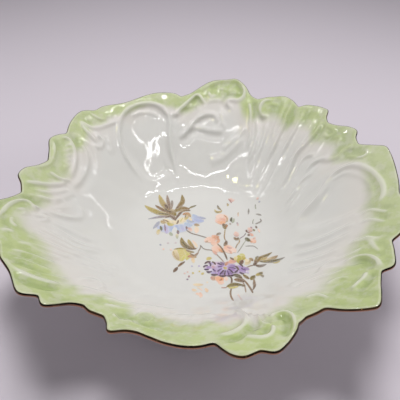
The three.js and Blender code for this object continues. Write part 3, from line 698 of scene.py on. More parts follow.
def gold_with_painted_shade():
    material, nodes, links, shader = new_material("gold_with_painted_shade")
    patch = noise_node(nodes, links, 55.0, 4.0, 0.6)
    glint_noise = noise_node(nodes, links, 420.0, 2.0, 0.5)
    across = value_of(nodes, "across")
    # painted shade: the gold is coloured dark brown for the dark floor and shadow it reflects
    painted_dark_mix = ramp_node(nodes, links, patch, 0.4, 0.62)
    brown = mix_node(nodes, links, painted_dark_mix, srgb(48, 36, 30), srgb(92, 68, 46))
    # painted highlight: a copper line along the outer half of the gilt
    painted_copper_highlight = mix_node(nodes, links, ramp_node(nodes, links, across, 1.55, 1.9), brown, srgb(192, 142, 116))
    # painted glints: a few bright flecks on the gold
    painted_glints = mix_node(nodes, links, ramp_node(nodes, links, glint_noise, 0.68, 0.8), painted_copper_highlight, srgb(196, 158, 104))
    links.new(painted_glints, shader.inputs["Base Color"])
    shader.inputs["Metallic"].default_value = 0.85
    links.new(ramp_node(nodes, links, patch, 0.3, 0.7, 0.22, 0.42), shader.inputs["Roughness"])
    return material


gilt = add_piece("gilt_line", gold_mesh, gold_with_painted_shade())
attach(gilt, "root")
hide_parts("gilt_edge")

# ---------------------------------------------------------------------------------------------
# THE CORNFLOWER. The first of six enamel prints, laid on the glaze from a wet sheet and fired in.
# Each leaf and petal is a dab of enamel about as thick as paper, paler where it thins at its edges.
# ---------------------------------------------------------------------------------------------
olive, dark_olive, pale_olive = (138, 120, 54), (100, 88, 40), (192, 174, 102)
brown, dark_brown, umber, taupe = (138, 106, 66), (92, 66, 46), (114, 86, 62), (158, 136, 118)
cream, tan, honey, gold_green = (233, 216, 180), (182, 158, 114), (208, 194, 124), (176, 160, 66)
slate, mauve, lilac = (166, 168, 184), (142, 122, 142), (190, 182, 214)
periwinkle, sky = (170, 180, 214), (176, 192, 214)
moss, sage, peach = (96, 100, 74), (170, 176, 154), (234, 178, 148)
blush_pink, rose = (238, 208, 192), (202, 154, 146)
apricot, rust, stone = (234, 168, 118), (190, 128, 88), (142, 138, 132)
plum, violet, bright_violet, pale_violet = (84, 56, 74), (128, 96, 152), (158, 122, 186), (182, 160, 202)
ink = (74, 50, 100)

CORNFLOWER = [
    # a thin blue wash that the petals are drawn over
    ([[-35, 11], [-29, 8.4], [-21, 8], [-12, 9.4], [-7, 12.6]], 9.0, (190, 196, 220), (184, 196, 224)),
    ([[-11, 14.6], [-6, 16.6], [-2.4, 19], [-2.4, 22]], 8.6, (186, 197, 224), (180, 192, 224)),
    ([[-30, 17.4], [-24, 15.4], [-16, 16.6], [-9.6, 20.6]], 5.0, (222, 210, 184), (226, 214, 184)),
    ([[-33, 33], [-27, 29.4], [-20, 28.4]], 7.0, (196, 178, 140), (190, 170, 128)),
    # petals that hang from the cup, back ones first
    ([[-33, 16.6], [-34.4, 13], [-37.4, 8]], 3.0, slate, slate),
    ([[-26.8, 11], [-26.8, 6.6], [-26, 2.4]], 3.2, lilac, lilac),
    ([[-24, 12], [-22, 7], [-21.4, 3.6]], 4.4, periwinkle, sky),
    ([[-19, 12.6], [-18, 9], [-17.4, 5.6]], 3.8, periwinkle, sky),
    ([[-15.4, 13], [-14.2, 9.4], [-13.4, 5.6]], 3.8, sky, lilac),
    ([[-12.6, 15], [-9.6, 12.8], [-6, 11.6]], 4.0, sky, sky),
    ([[-11, 18.4], [-8.6, 16.8], [-4.6, 16]], 3.0, sky, slate),
    ([[-6, 25], [-3.2, 20.5], [-1, 14.4]], 4.6, sky, periwinkle),
    ([[-4.4, 22.4], [0.6, 20.8], [5, 20]], 2.6, periwinkle, slate),
    ([[-5, 18.4], [-1, 17.2], [3.4, 17]], 4.0, periwinkle, periwinkle),
    ([[-28.6, 13.4], [-27.9, 9], [-27.4, 4.8]], 1.4, mauve, mauve),
    ([[-31.6, 11], [-31, 8.6], [-30.4, 5.6]], 2.0, moss, moss),
    ([[-32.2, 7.4], [-33, 4.6], [-33, 1.2]], 2.8, pale_olive, cream),
    ([[-23.8, 4.4], [-22.8, 2], [-21.6, 0]], 2.6, sage, sage),
    ([[-17.8, 2.8], [-18, 0.4], [-17.6, -3]], 2.2, cream, sage),
    ([[-17.7, 6.6], [-17.4, 4.2], [-17.2, 1.8]], 2.0, umber, mauve),
    ([[-3, 11], [-2.6, 7], [-3, 2.8]], 3.4, cream, blush_pink),
    ([[-4.6, 13.6], [-3, 12.6], [-0.4, 11.8]], 2.8, taupe, tan),
    ([[-9.6, 9.4], [-7.8, 7.2], [-6.6, 4.8]], 2.8, rose, blush_pink),
    ([[-11.2, 10.8], [-10.6, 8.8], [-11, 6.8]], 1.6, umber, mauve),
    # the stem
    ([[-11, 6.6], [-7, 3], [0, 0.2], [7.6, -2.9]], 0.9, umber, stone),
    # the pale inner ring
    ([[-31.8, 17.4], [-30, 15.6], [-27.6, 14.6]], 3.2, tan, tan),
    ([[-29.6, 19.4], [-26, 17], [-22.4, 15.2]], 2.8, cream, cream),
    ([[-27.2, 17.8], [-25.6, 14.8], [-23.4, 12.2]], 2.6, tan, honey),
    ([[-26.4, 14], [-24, 12.8], [-20.8, 13]], 3.2, gold_green, honey),
    ([[-21.2, 18], [-20.4, 15.6], [-19.6, 13.6]], 2.0, cream, cream),
    ([[-15.8, 16.2], [-14.4, 18.8], [-12.4, 21]], 2.6, honey, honey),
    ([[-18.6, 15], [-17, 18.5], [-14.4, 21.4]], 1.9, cream, cream),
    ([[-15, 15], [-12.6, 20], [-9, 26]], 2.1, cream, cream),
    ([[-12.6, 18.4], [-11, 20.6], [-9.4, 22.4]], 2.6, honey, tan),
    ([[-8.6, 21], [-7.6, 19], [-7, 17]], 2.0, cream, cream),
    ([[-14.4, 24.4], [-10.6, 25.6], [-7.4, 21.6]], 3.2, rust, tan),
    # the ragged leaves over it
    ([[-24, 31], [-23.8, 38], [-24, 43]], 2.2, taupe, stone),
    ([[-24.5, 29], [-31, 37.6], [-35.4, 48]], 4.4, brown, pale_olive),
    ([[-25, 30], [-27, 40], [-28.6, 49]], 2.8, umber, taupe),
    ([[-26, 28], [-31.4, 30.8], [-38, 36.4]], 2.8, umber, brown),
    ([[-23.6, 23.6], [-33, 26.4], [-40, 30.4], [-46.6, 34.6]], 4.6, olive, pale_olive),
    ([[-23, 22.4], [-31, 22.2], [-42.4, 19.4]], 2.3, brown, slate),
    ([[-21, 29.6], [-17.2, 35.6], [-14.8, 42], [-15.7, 50.2]], 4.0, brown, olive),
    ([[-23, 26.4], [-16, 32], [-8.4, 31.6]], 4.4, olive, brown),
    ([[-9.4, 32.4], [-6.5, 34.5], [-3, 36.4]], 1.7, olive, moss),
    ([[-18.6, 25], [-13, 29.6], [-7.8, 29.4]], 2.2, tan, dark_brown),
    ([[-28.4, 28.6], [-24, 27], [-19.4, 23.4]], 5.4, brown, olive),
    ([[-25.6, 24.4], [-22, 21.4], [-19.6, 17.6]], 3.2, taupe, umber),
    ([[-30, 37.4], [-28.2, 35], [-27.2, 31.6]], 2.6, dark_brown, umber),
    ([[-20.2, 18.4], [-17.6, 24], [-14.4, 28.4]], 1.8, umber, dark_brown),
    ([[-28.6, 20.8], [-24, 22.4], [-20, 18.4]], 1.5, umber, dark_brown),
    ([[-35, 26.2], [-29, 25.6], [-24.6, 24.2]], 1.4, dark_olive, dark_olive),
    ([[-30, 33], [-27, 29.4], [-23, 27]], 1.5, dark_olive, dark_brown),
    ([[-20, 31.6], [-19, 33.4], [-17.4, 36]], 1.5, dark_brown, brown),
    ([[-30.4, 18.2], [-27.6, 17.4], [-25.6, 15.6]], 0.9, brown, brown),
    ([[-18.8, 13.8], [-18, 15.4], [-17.6, 18]], 1.2, umber, umber),
    ([[-12.6, 25.4], [-11.6, 23.6], [-12.4, 20.6]], 0.9, olive, brown),
]

ENAMEL_LIFT, ENAMEL_LAYER, ENAMEL_UNDER = 0.10, 0.004, 0.03
DAB_SPREAD = 1.16        # the wet enamel spreads a little past the width it is drawn at
LINE_WIDTH = 1.31        # a dab narrower than this is a line, full along its length


def on_glaze(x, y, lift):
    """Points this far over the inner face of the bowl."""
    radius = np.maximum(np.hypot(x, y), 1e-6)
    slope = wall_slope(radius)
    up = np.stack([-np.sin(slope) * x / radius, -np.sin(slope) * y / radius, np.cos(slope)], -1)
    return np.stack([x, y, wall_height(radius)], -1) + up * (carving(x, y) + lift)[..., None]


def enamel_dabs(name, dabs):
    """One mesh of closed dabs, each laid over the one before, coloured from its start to its tip."""
    # a dab's section has seven points: five over its top from side to side, and two under its sides
    across = np.array([-1, -0.55, 0, 0.55, 1, -1, 1])
    paper = np.array(srgb(232, 226, 218))
    thin = np.array([0.34, 0.06, 0, 0.06, 0.34, 0.5, 0.5])[None, :, None]
    plans, lifts, faces, paints = [], [], [], []
    start = 0
    for layer, (line, width, first, last) in enumerate(dabs):
        line = spline(line, 6 if len(line) < 4 else 4)
        count = len(line)
        place = np.linspace(0, 1, count)
        fullness = 7 if width < LINE_WIDTH else 2.2
        half = DAB_SPREAD * width / 2 * np.maximum(1 - np.abs(2 * place - 1) ** fullness, 0.06)
        run = np.gradient(line, axis=0)
        run /= np.linalg.norm(run, axis=1, keepdims=True)
        left = np.stack([-run[:, 1], run[:, 0]], 1)
        plans.append((line[:, None] + left[:, None] * (half[:, None] * across)[..., None]).reshape(-1, 2))
        lifts += ([ENAMEL_LIFT + ENAMEL_LAYER * layer] * 5 + [ENAMEL_UNDER] * 2) * count
        for a in range(start, start + 7 * (count - 1), 7):
            b = a + 7
            faces += [(a + j + 1, a + j, b + j, b + j + 1) for j in range(4)]
            faces += [(a + 6, a + 4, b + 4, b + 6), (a + 5, a + 6, b + 6, b + 5), (a, a + 5, b + 5, b)]
        faces.append((start, start + 1, start + 2, start + 3, start + 4, start + 6, start + 5))
        start += 7 * count
        faces.append((start - 2, start - 1, start - 3, start - 4, start - 5, start - 6, start - 7))
        tone = np.array(srgb(*first)) * (1 - place)[:, None] + np.array(srgb(*last)) * place[:, None]
        paints.append((tone[:, None] * (1 - thin) + paper * thin).reshape(-1, 4))
    plan = np.vstack(plans)
    mesh = bpy.data.meshes.new(name)
    mesh.from_pydata((on_glaze(plan[:, 0], plan[:, 1], np.array(lifts)) * MM).tolist(), [], faces)
    mesh.update()
    layer = mesh.attributes.new("paint", "FLOAT_COLOR", "POINT")
    layer.data.foreach_set("color", np.vstack(paints).astype(np.float32).ravel())
    return mesh


def enamel(name, depth):
    """Fired enamel: its paint gathers and thins in a fine grain, by this much, under a glassy skin."""
    material, nodes, links, shader = new_material(name)
    paint = nodes.new("ShaderNodeAttribute")
    paint.attribute_name = "paint"
    grain = ramp_node(nodes, links, noise_node(nodes, links, 900.0, 3.0, 0.6), 0.35, 0.65)
    share = math_node(nodes, links, "MULTIPLY", grain, depth)
    thin = mix_node(nodes, links, share, paint.outputs["Color"], srgb(236, 230, 222))
    links.new(thin, shader.inputs["Base Color"])
    shader.inputs["Roughness"].default_value = 0.2
    shader.inputs["Coat Weight"].default_value = 0.3
    shader.inputs["Coat Roughness"].default_value = 0.06
    return material


def lay_print(name, dabs, material, node):
    piece = add_piece(name, enamel_dabs(name, dabs), material)
    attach(piece, "root")
    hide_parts(node)


lay_print("cornflower_print", CORNFLOWER, enamel("cornflower_enamel", 0.22),
          "cornflower_transfer")

# ---------------------------------------------------------------------------------------------
# THE YELLOW BUD. A fat closed bud in thin yellow enamel, with two folded leaves over it and a
# short cut stalk. A thin stem runs from it under the blossoms.
# ---------------------------------------------------------------------------------------------
BUD = [
    ([[-1.6, -16.8], [0.2, -13], [0.4, -9.6]], 0.9, taupe, stone),
    ([[0.4, -9.6], [2.2, -13], [5, -14.6], [9, -15.4], [13, -20], [17, -26], [18.8, -31]], 0.9, stone, taupe),
    ([[-6, -4.4], [-3.4, -9], [-2, -12.4]], 2.0, blush_pink, cream),
    ([[-14, -13.4], [-15, -19], [-13.2, -26.2]], 9.6, honey, honey),
    ([[-18.8, -14], [-18.6, -19], [-15.4, -25]], 4.2, cream, tan),
    ([[-12, -13.8], [-9, -19], [-10, -25.2]], 4.2, honey, (198, 192, 104)),
    ([[-10.6, -19.6], [-12, -22.6], [-13.4, -25]], 2.6, (216, 208, 124), (200, 192, 100)),
    ([[-20, -14.2], [-15, -13.2], [-10.8, -14]], 1.5, olive, gold_green),
    ([[-20.2, -16], [-18.8, -21], [-15.4, -25.4]], 1.0, tan, tan),
    ([[-5.6, -22], [-5.1, -25], [-4.6, -28]], 2.4, (226, 190, 146), cream),
    ([[-9.4, -21.6], [-5.6, -21.2], [-2.6, -22.4]], 3.2, rust, tan),
    ([[-11, -14.6], [-7.4, -16.6], [-4.2, -17.2]], 1.9, taupe, olive),
    ([[-7.8, -18.2], [-4, -20.6], [-0.8, -16.6]], 1.9, brown, taupe),
    ([[-14.6, -1.6], [-13.2, -7.4], [-9.4, -12], [-2.4, -13.4]], 4.2, olive, brown),
    ([[-9.2, -3.6], [-7.6, -8], [-4.2, -12.8]], 2.8, pale_olive, brown),
    ([[-12.6, -10.4], [-8, -13.4], [-2.8, -14]], 1.6, dark_olive, dark_brown),
    ([[-13.6, -6], [-11.4, -9.6], [-8.6, -11.6]], 1.3, dark_olive, dark_olive),
    ([[-11, -26.4], [-14, -29], [-16.2, -31.6]], 1.9, dark_brown, brown),
    ([[-16.2, -31.8], [-17.6, -34], [-19.2, -36.6]], 2.4, dark_brown, umber),
    ([[-31, -8.6], [-29.6, -10.2]], 1.4, slate, slate),
    ([[-28, -13], [-27.4, -15]], 1.6, blush_pink, blush_pink),
    ([[-25.4, -7], [-23.8, -8]], 1.5, (206, 192, 196), (206, 192, 196)),
    ([[-19.4, -6.6], [-18, -8]], 1.5, (206, 192, 196), (206, 192, 196)),
    ([[-22.4, -13.6], [-21.6, -15.4]], 1.3, blush_pink, blush_pink),
]
lay_print("bud_print", BUD, enamel("bud_enamel", 0.18), "bud_transfer")

# ---------------------------------------------------------------------------------------------
# THE BLOSSOM SPRAY. Loose peach blossoms on hair-thin stems, with small grey buds at the tips.
# It is the palest of the prints, and its stems gather down into the posy.
# ---------------------------------------------------------------------------------------------
BLOSSOMS = [
    ([[20, 7.6], [19.4, 3], [19, -1], [19.8, -5.4]], 0.9, tan, brown),
    ([[30.4, -3], [30.4, -6.4], [28.2, -10], [26.8, -14]], 0.9, tan, taupe),
    ([[30.6, -3], [33, -1], [35, 1], [36.2, 3.4]], 0.8, mauve, stone),
    ([[36, -4], [33.6, -8], [31, -13], [28, -18]], 0.7, sage, stone),
    ([[34.6, -11], [38, -10.6], [41.4, -11], [44, -14]], 0.8, stone, stone),
    # the tip of the spray
    ([[26.4, 46], [26.6, 43.6], [26.4, 41.6]], 3.0, blush_pink, rose),
    ([[24.2, 45], [26, 42.6], [26.7, 39.2]], 1.8, rose, (160, 118, 114)),
    ([[26.6, 41], [28.2, 42.4], [29.6, 44]], 1.6, rose, blush_pink),
    ([[23, 39], [23.6, 37.2], [23.4, 35.2]], 1.7, taupe, pale_olive),
    ([[14.8, 36.6], [15.6, 33], [17.8, 30.2]], 1.9, stone, olive),
    ([[12.2, 31], [13.6, 28.2], [16.6, 28], [18.4, 30.2]], 2.4, pale_olive, tan),
    ([[13, 28.8], [14.4, 27.8], [16, 27.8]], 1.4, olive, olive),
    # the large blossom and its cup
    ([[12.8, 21], [16.6, 23.2], [20.6, 23]], 4.6, blush_pink, blush_pink),
    ([[19.6, 25], [21, 21], [21.8, 16]], 3.6, blush_pink, peach),
    ([[12.6, 19.4], [16, 17.6], [20.8, 19]], 6.6, blush_pink, (224, 160, 136)),
    ([[13.8, 16], [17.4, 15], [21, 15.6]], 4.0, peach, apricot),
    ([[19.8, 24], [22, 20.4], [21.8, 15.4]], 1.1, rust, tan),
    ([[18.4, 13.8], [19.7, 10.8], [20.1, 7.2]], 3.2, dark_brown, olive),
    ([[20.8, 13.2], [21.6, 11.4], [20.6, 9.2]], 1.4, brown, rust),
    ([[27.8, 20.4], [27.2, 17.2], [25.8, 14.2]], 1.8, sage, sage),
    ([[26.2, 21.6], [25.3, 18.6], [25.4, 15.8]], 1.9, moss, (78, 76, 58)),
    ([[24.6, 14], [24, 12.8]], 1.3, taupe, taupe),
    ([[30, 15.4], [30.4, 13.2], [30.6, 11.4]], 1.3, mauve, blush_pink),
    # the small blossom in the middle
    ([[28.2, 5], [28.6, 1.6], [28.8, -1]], 3.8, blush_pink, rose),
    ([[26.2, -1.6], [28.4, -3.5], [30.2, -1.8]], 2.5, brown, (108, 84, 48)),
    # the right-hand blossoms
    ([[38.6, 9.4], [39.8, 6.8], [40.8, 4.6]], 3.4, blush_pink, rose),
    ([[39.2, 3.2], [40.4, 1.4], [41.8, 0]], 2.4, rose, peach),
    ([[36.6, 6.8], [36.8, 5.4], [37.2, 4.2]], 1.3, (124, 84, 74), dark_brown),
    ([[37.2, 4.2], [38.4, 3.8], [39.8, 4.2]], 1.5, (106, 66, 58), rose),
    ([[37.8, 2], [38.2, 1], [38.8, 0]], 1.9, dark_brown, (124, 84, 74)),
    ([[40.6, 10.4], [41, 9.2], [41.6, 8.2]], 1.5, mauve, rose),
    ([[42.4, 7.8], [42.8, 6.6], [43.2, 5.4]], 1.6, moss, olive),
    ([[44.8, 11.6], [45, 10], [45.4, 8.6]], 1.7, stone, umber),
    ([[46.2, 8.4], [46.8, 6], [47, 3.6]], 1.4, blush_pink, blush_pink),
    ([[39.2, -3], [41.2, -5.2], [42.6, -7.6]], 4.0, blush_pink, peach),
    ([[38.6, -5.4], [39.8, -6.4], [41, -7]], 1.8, rust, peach),
    ([[41.4, -3.6], [42.4, -2.4], [43, -1]], 1.8, rose, blush_pink),
    ([[35.6, -1.6], [36.8, -3.8], [39, -5.8]], 3.2, moss, dark_olive),
    # buds and ticks beyond them
    ([[40.8, 32], [40.5, 28.8], [39.9, 25]], 1.4, stone, stone),
    ([[46, 25.2], [48.6, 24.2], [50.6, 22.8]], 1.5, stone, stone),
    ([[48.2, 41.4], [49.4, 39.8]], 2.0, blush_pink, rose),
    ([[49.4, 37.8], [50.6, 36.6]], 1.6, slate, slate),
    ([[46.6, 35.6], [46.5, 33], [46.7, 30.6]], 0.9, stone, sage),
    ([[49, 19.4], [49.6, 16.8], [47.4, 15], [44.4, 13.4]], 1.1, stone, stone),
    ([[31.8, 27.4], [31.4, 25], [31.6, 22.6]], 1.0, tan, blush_pink),
    ([[43.8, 19], [42.8, 16.4], [42.6, 13.6]], 0.7, sage, stone),
    # the blossom at the end of the cornflower's stem
    ([[3.4, -6.4], [7.6, -4.2], [12.4, -4.6]], 5.6, blush_pink, peach),
    ([[8.6, -6.4], [11, -8.2], [13.4, -9.8]], 4.4, peach, blush_pink),
    ([[9.2, 0.4], [12, -1.4], [15, -0.6]], 4.2, peach, rust),
    ([[13.6, -1.6], [14.2, -5], [12.8, -8.4]], 2.4, rust, peach),
    ([[12.8, 1], [14.8, 2.4], [16.6, 3.2]], 2.3, brown, stone),
    ([[4.2, -7.2], [5.2, -6.2], [6.4, -6.4]], 1.8, rose, tan),
    # the two lowest blossoms
    ([[8.8, -12.4], [12.4, -13.8], [16, -14.2]], 6.4, blush_pink, peach),
    ([[9.6, -15.6], [11.2, -17.4], [12.4, -20]], 2.4, peach, rose),
    ([[18.8, -10.6], [21.4, -13.8], [24.4, -18.4]], 6.6, peach, blush_pink),
    ([[23.6, -13], [25.6, -15], [26.6, -18]], 3.4, blush_pink, blush_pink),
    ([[14, -14.2], [16, -15.6], [17.6, -17.4]], 2.8, apricot, rust),
    ([[20.6, -11.8], [22.4, -13], [24.4, -13]], 1.6, rose, rose),
    ([[21.4, -15], [23, -17], [23.6, -19]], 1.5, rose, peach),
    ([[20.6, -5], [19.7, -8.6], [18.2, -10.8]], 2.6, dark_brown, brown),
    ([[13.2, -8.2], [16, -12.4], [17.6, -16], [19, -20], [20.2, -25]], 1.2, brown, dark_brown),
]
lay_print("blossom_print", BLOSSOMS, enamel("blossom_enamel", 0.25), "blossom_spray_transfer")

# ---------------------------------------------------------------------------------------------
# THE VIOLET POSY. The darkest print: small purple florets crowded together, between a yellow
# floret, a cream one and two orange blossoms below.
# ---------------------------------------------------------------------------------------------
POSY = [
    # a thin violet wash that the florets are drawn over
    ([[3.6, -32.4], [9, -33.4], [16, -34], [24, -34], [31, -33.6], [35.4, -33.6]], 8.4,
     (192, 170, 206), (190, 166, 208)),
    ([[5.6, -28], [12, -28.8], [19, -29], [26, -29.4]], 4.4, (206, 182, 200), (190, 166, 204)),
    ([[11, -38.4], [17, -38.6], [24, -37.8]], 4.0, (176, 150, 196), (172, 146, 192)),
    ([[7.4, -41], [9.8, -42], [12, -41.6]], 3.6, rose, tan),
    ([[17.2, -40.6], [18.6, -42.4], [18.4, -44.4]], 2.4, blush_pink, blush_pink),
    ([[10.8, -41], [14, -42.8], [16.8, -42]], 5.0, peach, apricot),
    ([[12.4, -44], [14.8, -45.8], [17, -45]], 3.2, peach, blush_pink),
    ([[15.8, -42], [14.8, -43.4], [13.6, -44]], 1.4, rust, rust),
    ([[21, -27.6], [24, -26], [27, -26.4]], 4.0, peach, rose),
    ([[22.2, -22.2], [24.2, -24], [26.8, -24.6]], 1.7, umber, brown),
    ([[5, -25], [6.6, -23.4], [8.8, -23.2]], 3.0, honey, pale_olive),
    ([[29.6, -19.2], [31.6, -20], [33.6, -21.4]], 3.0, (206, 208, 148), honey),
    ([[28.6, -20], [29, -24], [28, -28]], 4.6, (196, 186, 88), gold_green),
    ([[27.6, -21.4], [26.4, -23], [26, -25.4]], 2.4, cream, honey),
    ([[31, -21.4], [32.4, -23], [32, -25]], 3.0, (200, 184, 90), gold_green),
    ([[31.6, -24.8], [30.6, -27], [29.4, -29.6]], 2.8, (124, 82, 60), dark_brown),
    ([[33, -29.6], [35, -27.4], [37.4, -25.4]], 3.4, cream, tan),
    ([[33, -24.2], [34.6, -25.4], [35.6, -26.8]], 2.4, cream, cream),
    ([[36.2, -23.6], [38, -24.2], [39, -26]], 2.2, tan, brown),
    # the left florets, pale first
    ([[6.1, -28.7], [8.0, -28.1], [9.6, -28.9]], 2.6, pale_violet, lilac),
    ([[4.7, -31.7], [6.6, -32.0], [8.5, -32.8]], 2.8, bright_violet, pale_violet),
    ([[6.4, -34.1], [8.2, -34.7], [9.9, -34.1]], 2.4, (234, 224, 234), lilac),
    ([[7.8, -36.8], [9.8, -37.6], [11.9, -37.6]], 2.8, lilac, bright_violet),
    ([[10.5, -28.9], [11.7, -30.3], [12.7, -32.0]], 2.2, (236, 218, 226), pale_violet),
    ([[8.7, -30.9], [10.0, -32.2], [10.8, -34.1]], 2.2, rose, pale_violet),
    # the open flower, its petals drawn out from a tan middle
    ([[18.5, -30.3], [19.6, -28.1], [21.0, -26.4]], 2.2, rust, rose),
    ([[20.1, -31.4], [23.1, -30.6], [26.0, -31.1]], 2.8, pale_violet, violet),
    ([[20.2, -32.5], [22.9, -33.6], [25.3, -34.9]], 3.0, bright_violet, bright_violet),
    ([[19.8, -33.6], [21.3, -35.7], [22.7, -38.2]], 2.8, pale_violet, violet),
    ([[18.7, -34.1], [19.2, -36.5], [19.3, -38.9]], 2.4, lilac, bright_violet),
    ([[17.9, -34.1], [16.9, -36.5], [15.8, -38.7]], 2.6, pale_violet, violet),
    ([[17.3, -33.3], [15.1, -35.2], [13.0, -37.6]], 2.8, (206, 196, 232), bright_violet),
    ([[16.9, -32.2], [14.4, -33.0], [11.8, -34.7]], 2.6, lilac, pale_violet),
    ([[16.9, -31.1], [14.9, -30.3], [12.6, -30.3]], 2.4, bright_violet, pale_violet),
    ([[17.6, -30.1], [16.4, -28.4], [14.8, -26.7]], 2.2, violet, mauve),
    ([[17.1, -31.7], [18.3, -32.8], [19.4, -32.0]], 2.4, tan, honey),
    # the right floret
    ([[27.7, -30.3], [29.7, -32.0], [32.1, -33.3]], 2.6, pale_violet, bright_violet),
    ([[28.3, -33.6], [30.8, -35.0], [33.3, -37.1]], 3.0, bright_violet, pale_violet),
    ([[31.7, -33.1], [33.8, -33.3], [35.8, -34.4]], 2.4, violet, pale_violet),
    ([[33.2, -35.2], [34.2, -36.3], [34.7, -37.9]], 2.0, (228, 214, 228), lilac),
    # the dark strokes between them
    ([[3.3, -28.7], [5.2, -27.0], [8.0, -26.2]], 1.44, plum, dark_brown),
    ([[2.4, -32.0], [3.7, -30.6], [5.8, -30.3]], 1.27, plum, ink),
    ([[2.8, -33.6], [4.7, -34.1], [6.8, -33.6]], 1.36, ink, plum),
    ([[4.5, -35.8], [6.5, -36.6], [8.8, -35.7]], 1.44, (66, 42, 54), ink),
    ([[6.7, -27.0], [7.7, -28.9], [7.5, -31.1]], 1.19, plum, ink),
    ([[8.8, -26.7], [10.5, -27.8], [11.3, -29.8]], 1.27, dark_brown, plum),
    ([[9.1, -33.3], [10.3, -35.2], [11.8, -36.0]], 1.36, ink, violet),
    ([[7.8, -38.7], [10.2, -39.2], [12.9, -38.9]], 1.61, plum, (66, 42, 54)),
    ([[12.8, -27.8], [14.3, -28.9], [16.2, -29.8]], 1.19, ink, plum),
    ([[12.9, -32.0], [14.2, -31.6], [16.1, -31.7]], 1.10, ink, violet),
    ([[12.4, -36.3], [14.1, -34.7], [16.0, -33.3]], 1.19, ink, violet),
    ([[14.1, -38.9], [15.9, -36.6], [17.2, -34.7]], 1.27, ink, plum),
    ([[17.4, -39.5], [17.9, -37.1], [18.5, -34.9]], 1.19, plum, ink),
    ([[20.7, -39.2], [20.2, -36.8], [19.5, -34.7]], 1.27, ink, violet),
    ([[23.9, -37.6], [22.4, -35.2], [20.4, -33.3]], 1.27, plum, ink),
    ([[25.9, -33.3], [23.4, -32.2], [20.7, -32.0]], 1.10, ink, violet),
    ([[13.1, -39.7], [16.0, -40.3], [19.1, -39.7]], 1.61, (66, 40, 60), plum),
    ([[19.1, -40.0], [21.9, -40.0], [25.1, -38.7]], 1.53, plum, (66, 42, 54)),
    ([[24.4, -36.8], [26.1, -36.0], [27.5, -34.1]], 1.53, ink, plum),
    ([[25.6, -30.6], [27.0, -32.2], [28.1, -34.7]], 1.44, plum, dark_brown),
    ([[28.2, -36.3], [29.9, -37.6], [31.8, -38.1]], 1.36, ink, plum),
    ([[29.7, -32.8], [31.4, -34.1], [33.5, -34.9]], 1.10, ink, violet),
    ([[28.3, -28.1], [29.9, -29.5], [31.4, -32.0]], 1.36, dark_brown, plum),
]
lay_print("posy_print", POSY, enamel("posy_enamel", 0.14), "violet_posy_transfer")

# ---------------------------------------------------------------------------------------------
# THE LEAF SPRAY. Ragged olive leaves to the right of the posy and under it, on brown stalks
# that come to their cut ends below.
# ---------------------------------------------------------------------------------------------
LEAVES = [
    # the stalks
    ([[21.4, -40], [22.5, -43], [21.8, -47.4]], 1.2, dark_brown, umber),
    ([[21.8, -51], [20.8, -56], [20.8, -62], [21.7, -69]], 1.2, umber, brown),
    ([[29.6, -42], [32, -46], [33.6, -51], [34.6, -56], [35, -61.4]], 1.3, brown, umber),
    ([[38, -43], [37.7, -48], [37.2, -53], [35.4, -57.4]], 1.9, brown, dark_brown),
    ([[30, -45.8], [30.9, -50], [31, -54], [30.8, -58.6]], 1.0, taupe, taupe),
    ([[25.4, -59], [26.4, -65], [27.2, -70]], 0.8, blush_pink, (206, 190, 192)),
    ([[33, -32.6], [36, -31], [39, -30]], 0.9, taupe, umber),
    # the leaves at the right
    ([[46, -26], [52, -25.6], [57.4, -23.2]], 4.0, cream, brown),
    ([[52.4, -28.6], [55.6, -29.8], [58, -29]], 3.2, pale_olive, pale_olive),
    ([[43.6, -26.4], [50, -27.2], [56, -28.4], [61.6, -27.8]], 3.2, dark_olive, stone),
    ([[40, -29.4], [42, -25.4], [47, -22.4], [54, -18]], 3.8, brown, olive),
    ([[41, -24.6], [42.2, -22.6], [43.6, -21]], 1.9, olive, stone),
    ([[44, -24.6], [47.4, -24], [50, -22]], 2.4, pale_olive, tan),
    ([[40, -29.6], [43.8, -31], [48.6, -30]], 2.6, umber, stone),
    ([[38.8, -30.2], [40.4, -28.6], [41.6, -25.6]], 2.4, dark_brown, umber),
    ([[47, -22.4], [50, -20.6], [52.6, -19]], 1.4, dark_olive, dark_olive),
    ([[53, -27.4], [55.4, -28], [58, -28]], 1.7, (92, 84, 40), dark_olive),
    ([[46, -26.8], [49, -26.6], [52, -26.2]], 1.3, olive, olive),
    # the leaves under the posy
    ([[23.6, -38.2], [27, -39.8], [30, -42]], 3.0, moss, umber),
    ([[24, -43], [28, -43.8], [31.4, -46]], 3.2, brown, dark_brown),
    ([[30.6, -38.6], [33, -41], [34.8, -43.4]], 2.2, olive, umber),
    ([[14.8, -50.2], [16.6, -50.6], [18.6, -50.4]], 0.9, rose, taupe),
    ([[19.6, -50.8], [23, -50.8], [26.8, -50]], 2.2, (200, 188, 112), honey),
    ([[18.2, -50], [21.6, -48.4], [25, -47.8], [31.4, -49.8]], 3.4, olive, dark_olive),
    ([[22.8, -47.2], [25, -48.4], [27.4, -49.2]], 1.4, dark_brown, dark_brown),
    ([[28.6, -49.4], [30, -50], [31.6, -50.8]], 1.6, dark_olive, umber),
    ([[35.8, -44.6], [37.2, -42.4], [38.9, -40]], 3.2, olive, dark_olive),
    ([[39.4, -40], [42, -39.4], [44.8, -37.6]], 2.8, pale_olive, olive),
    ([[42.8, -39.6], [44, -41.8], [44.4, -44]], 1.9, olive, stone),
    ([[41.8, -38.4], [43.4, -38.6], [44.6, -39.6]], 1.4, dark_olive, dark_olive),
]
lay_print("leaf_print", LEAVES, enamel("leaf_enamel", 0.18), "leaf_spray_transfer")

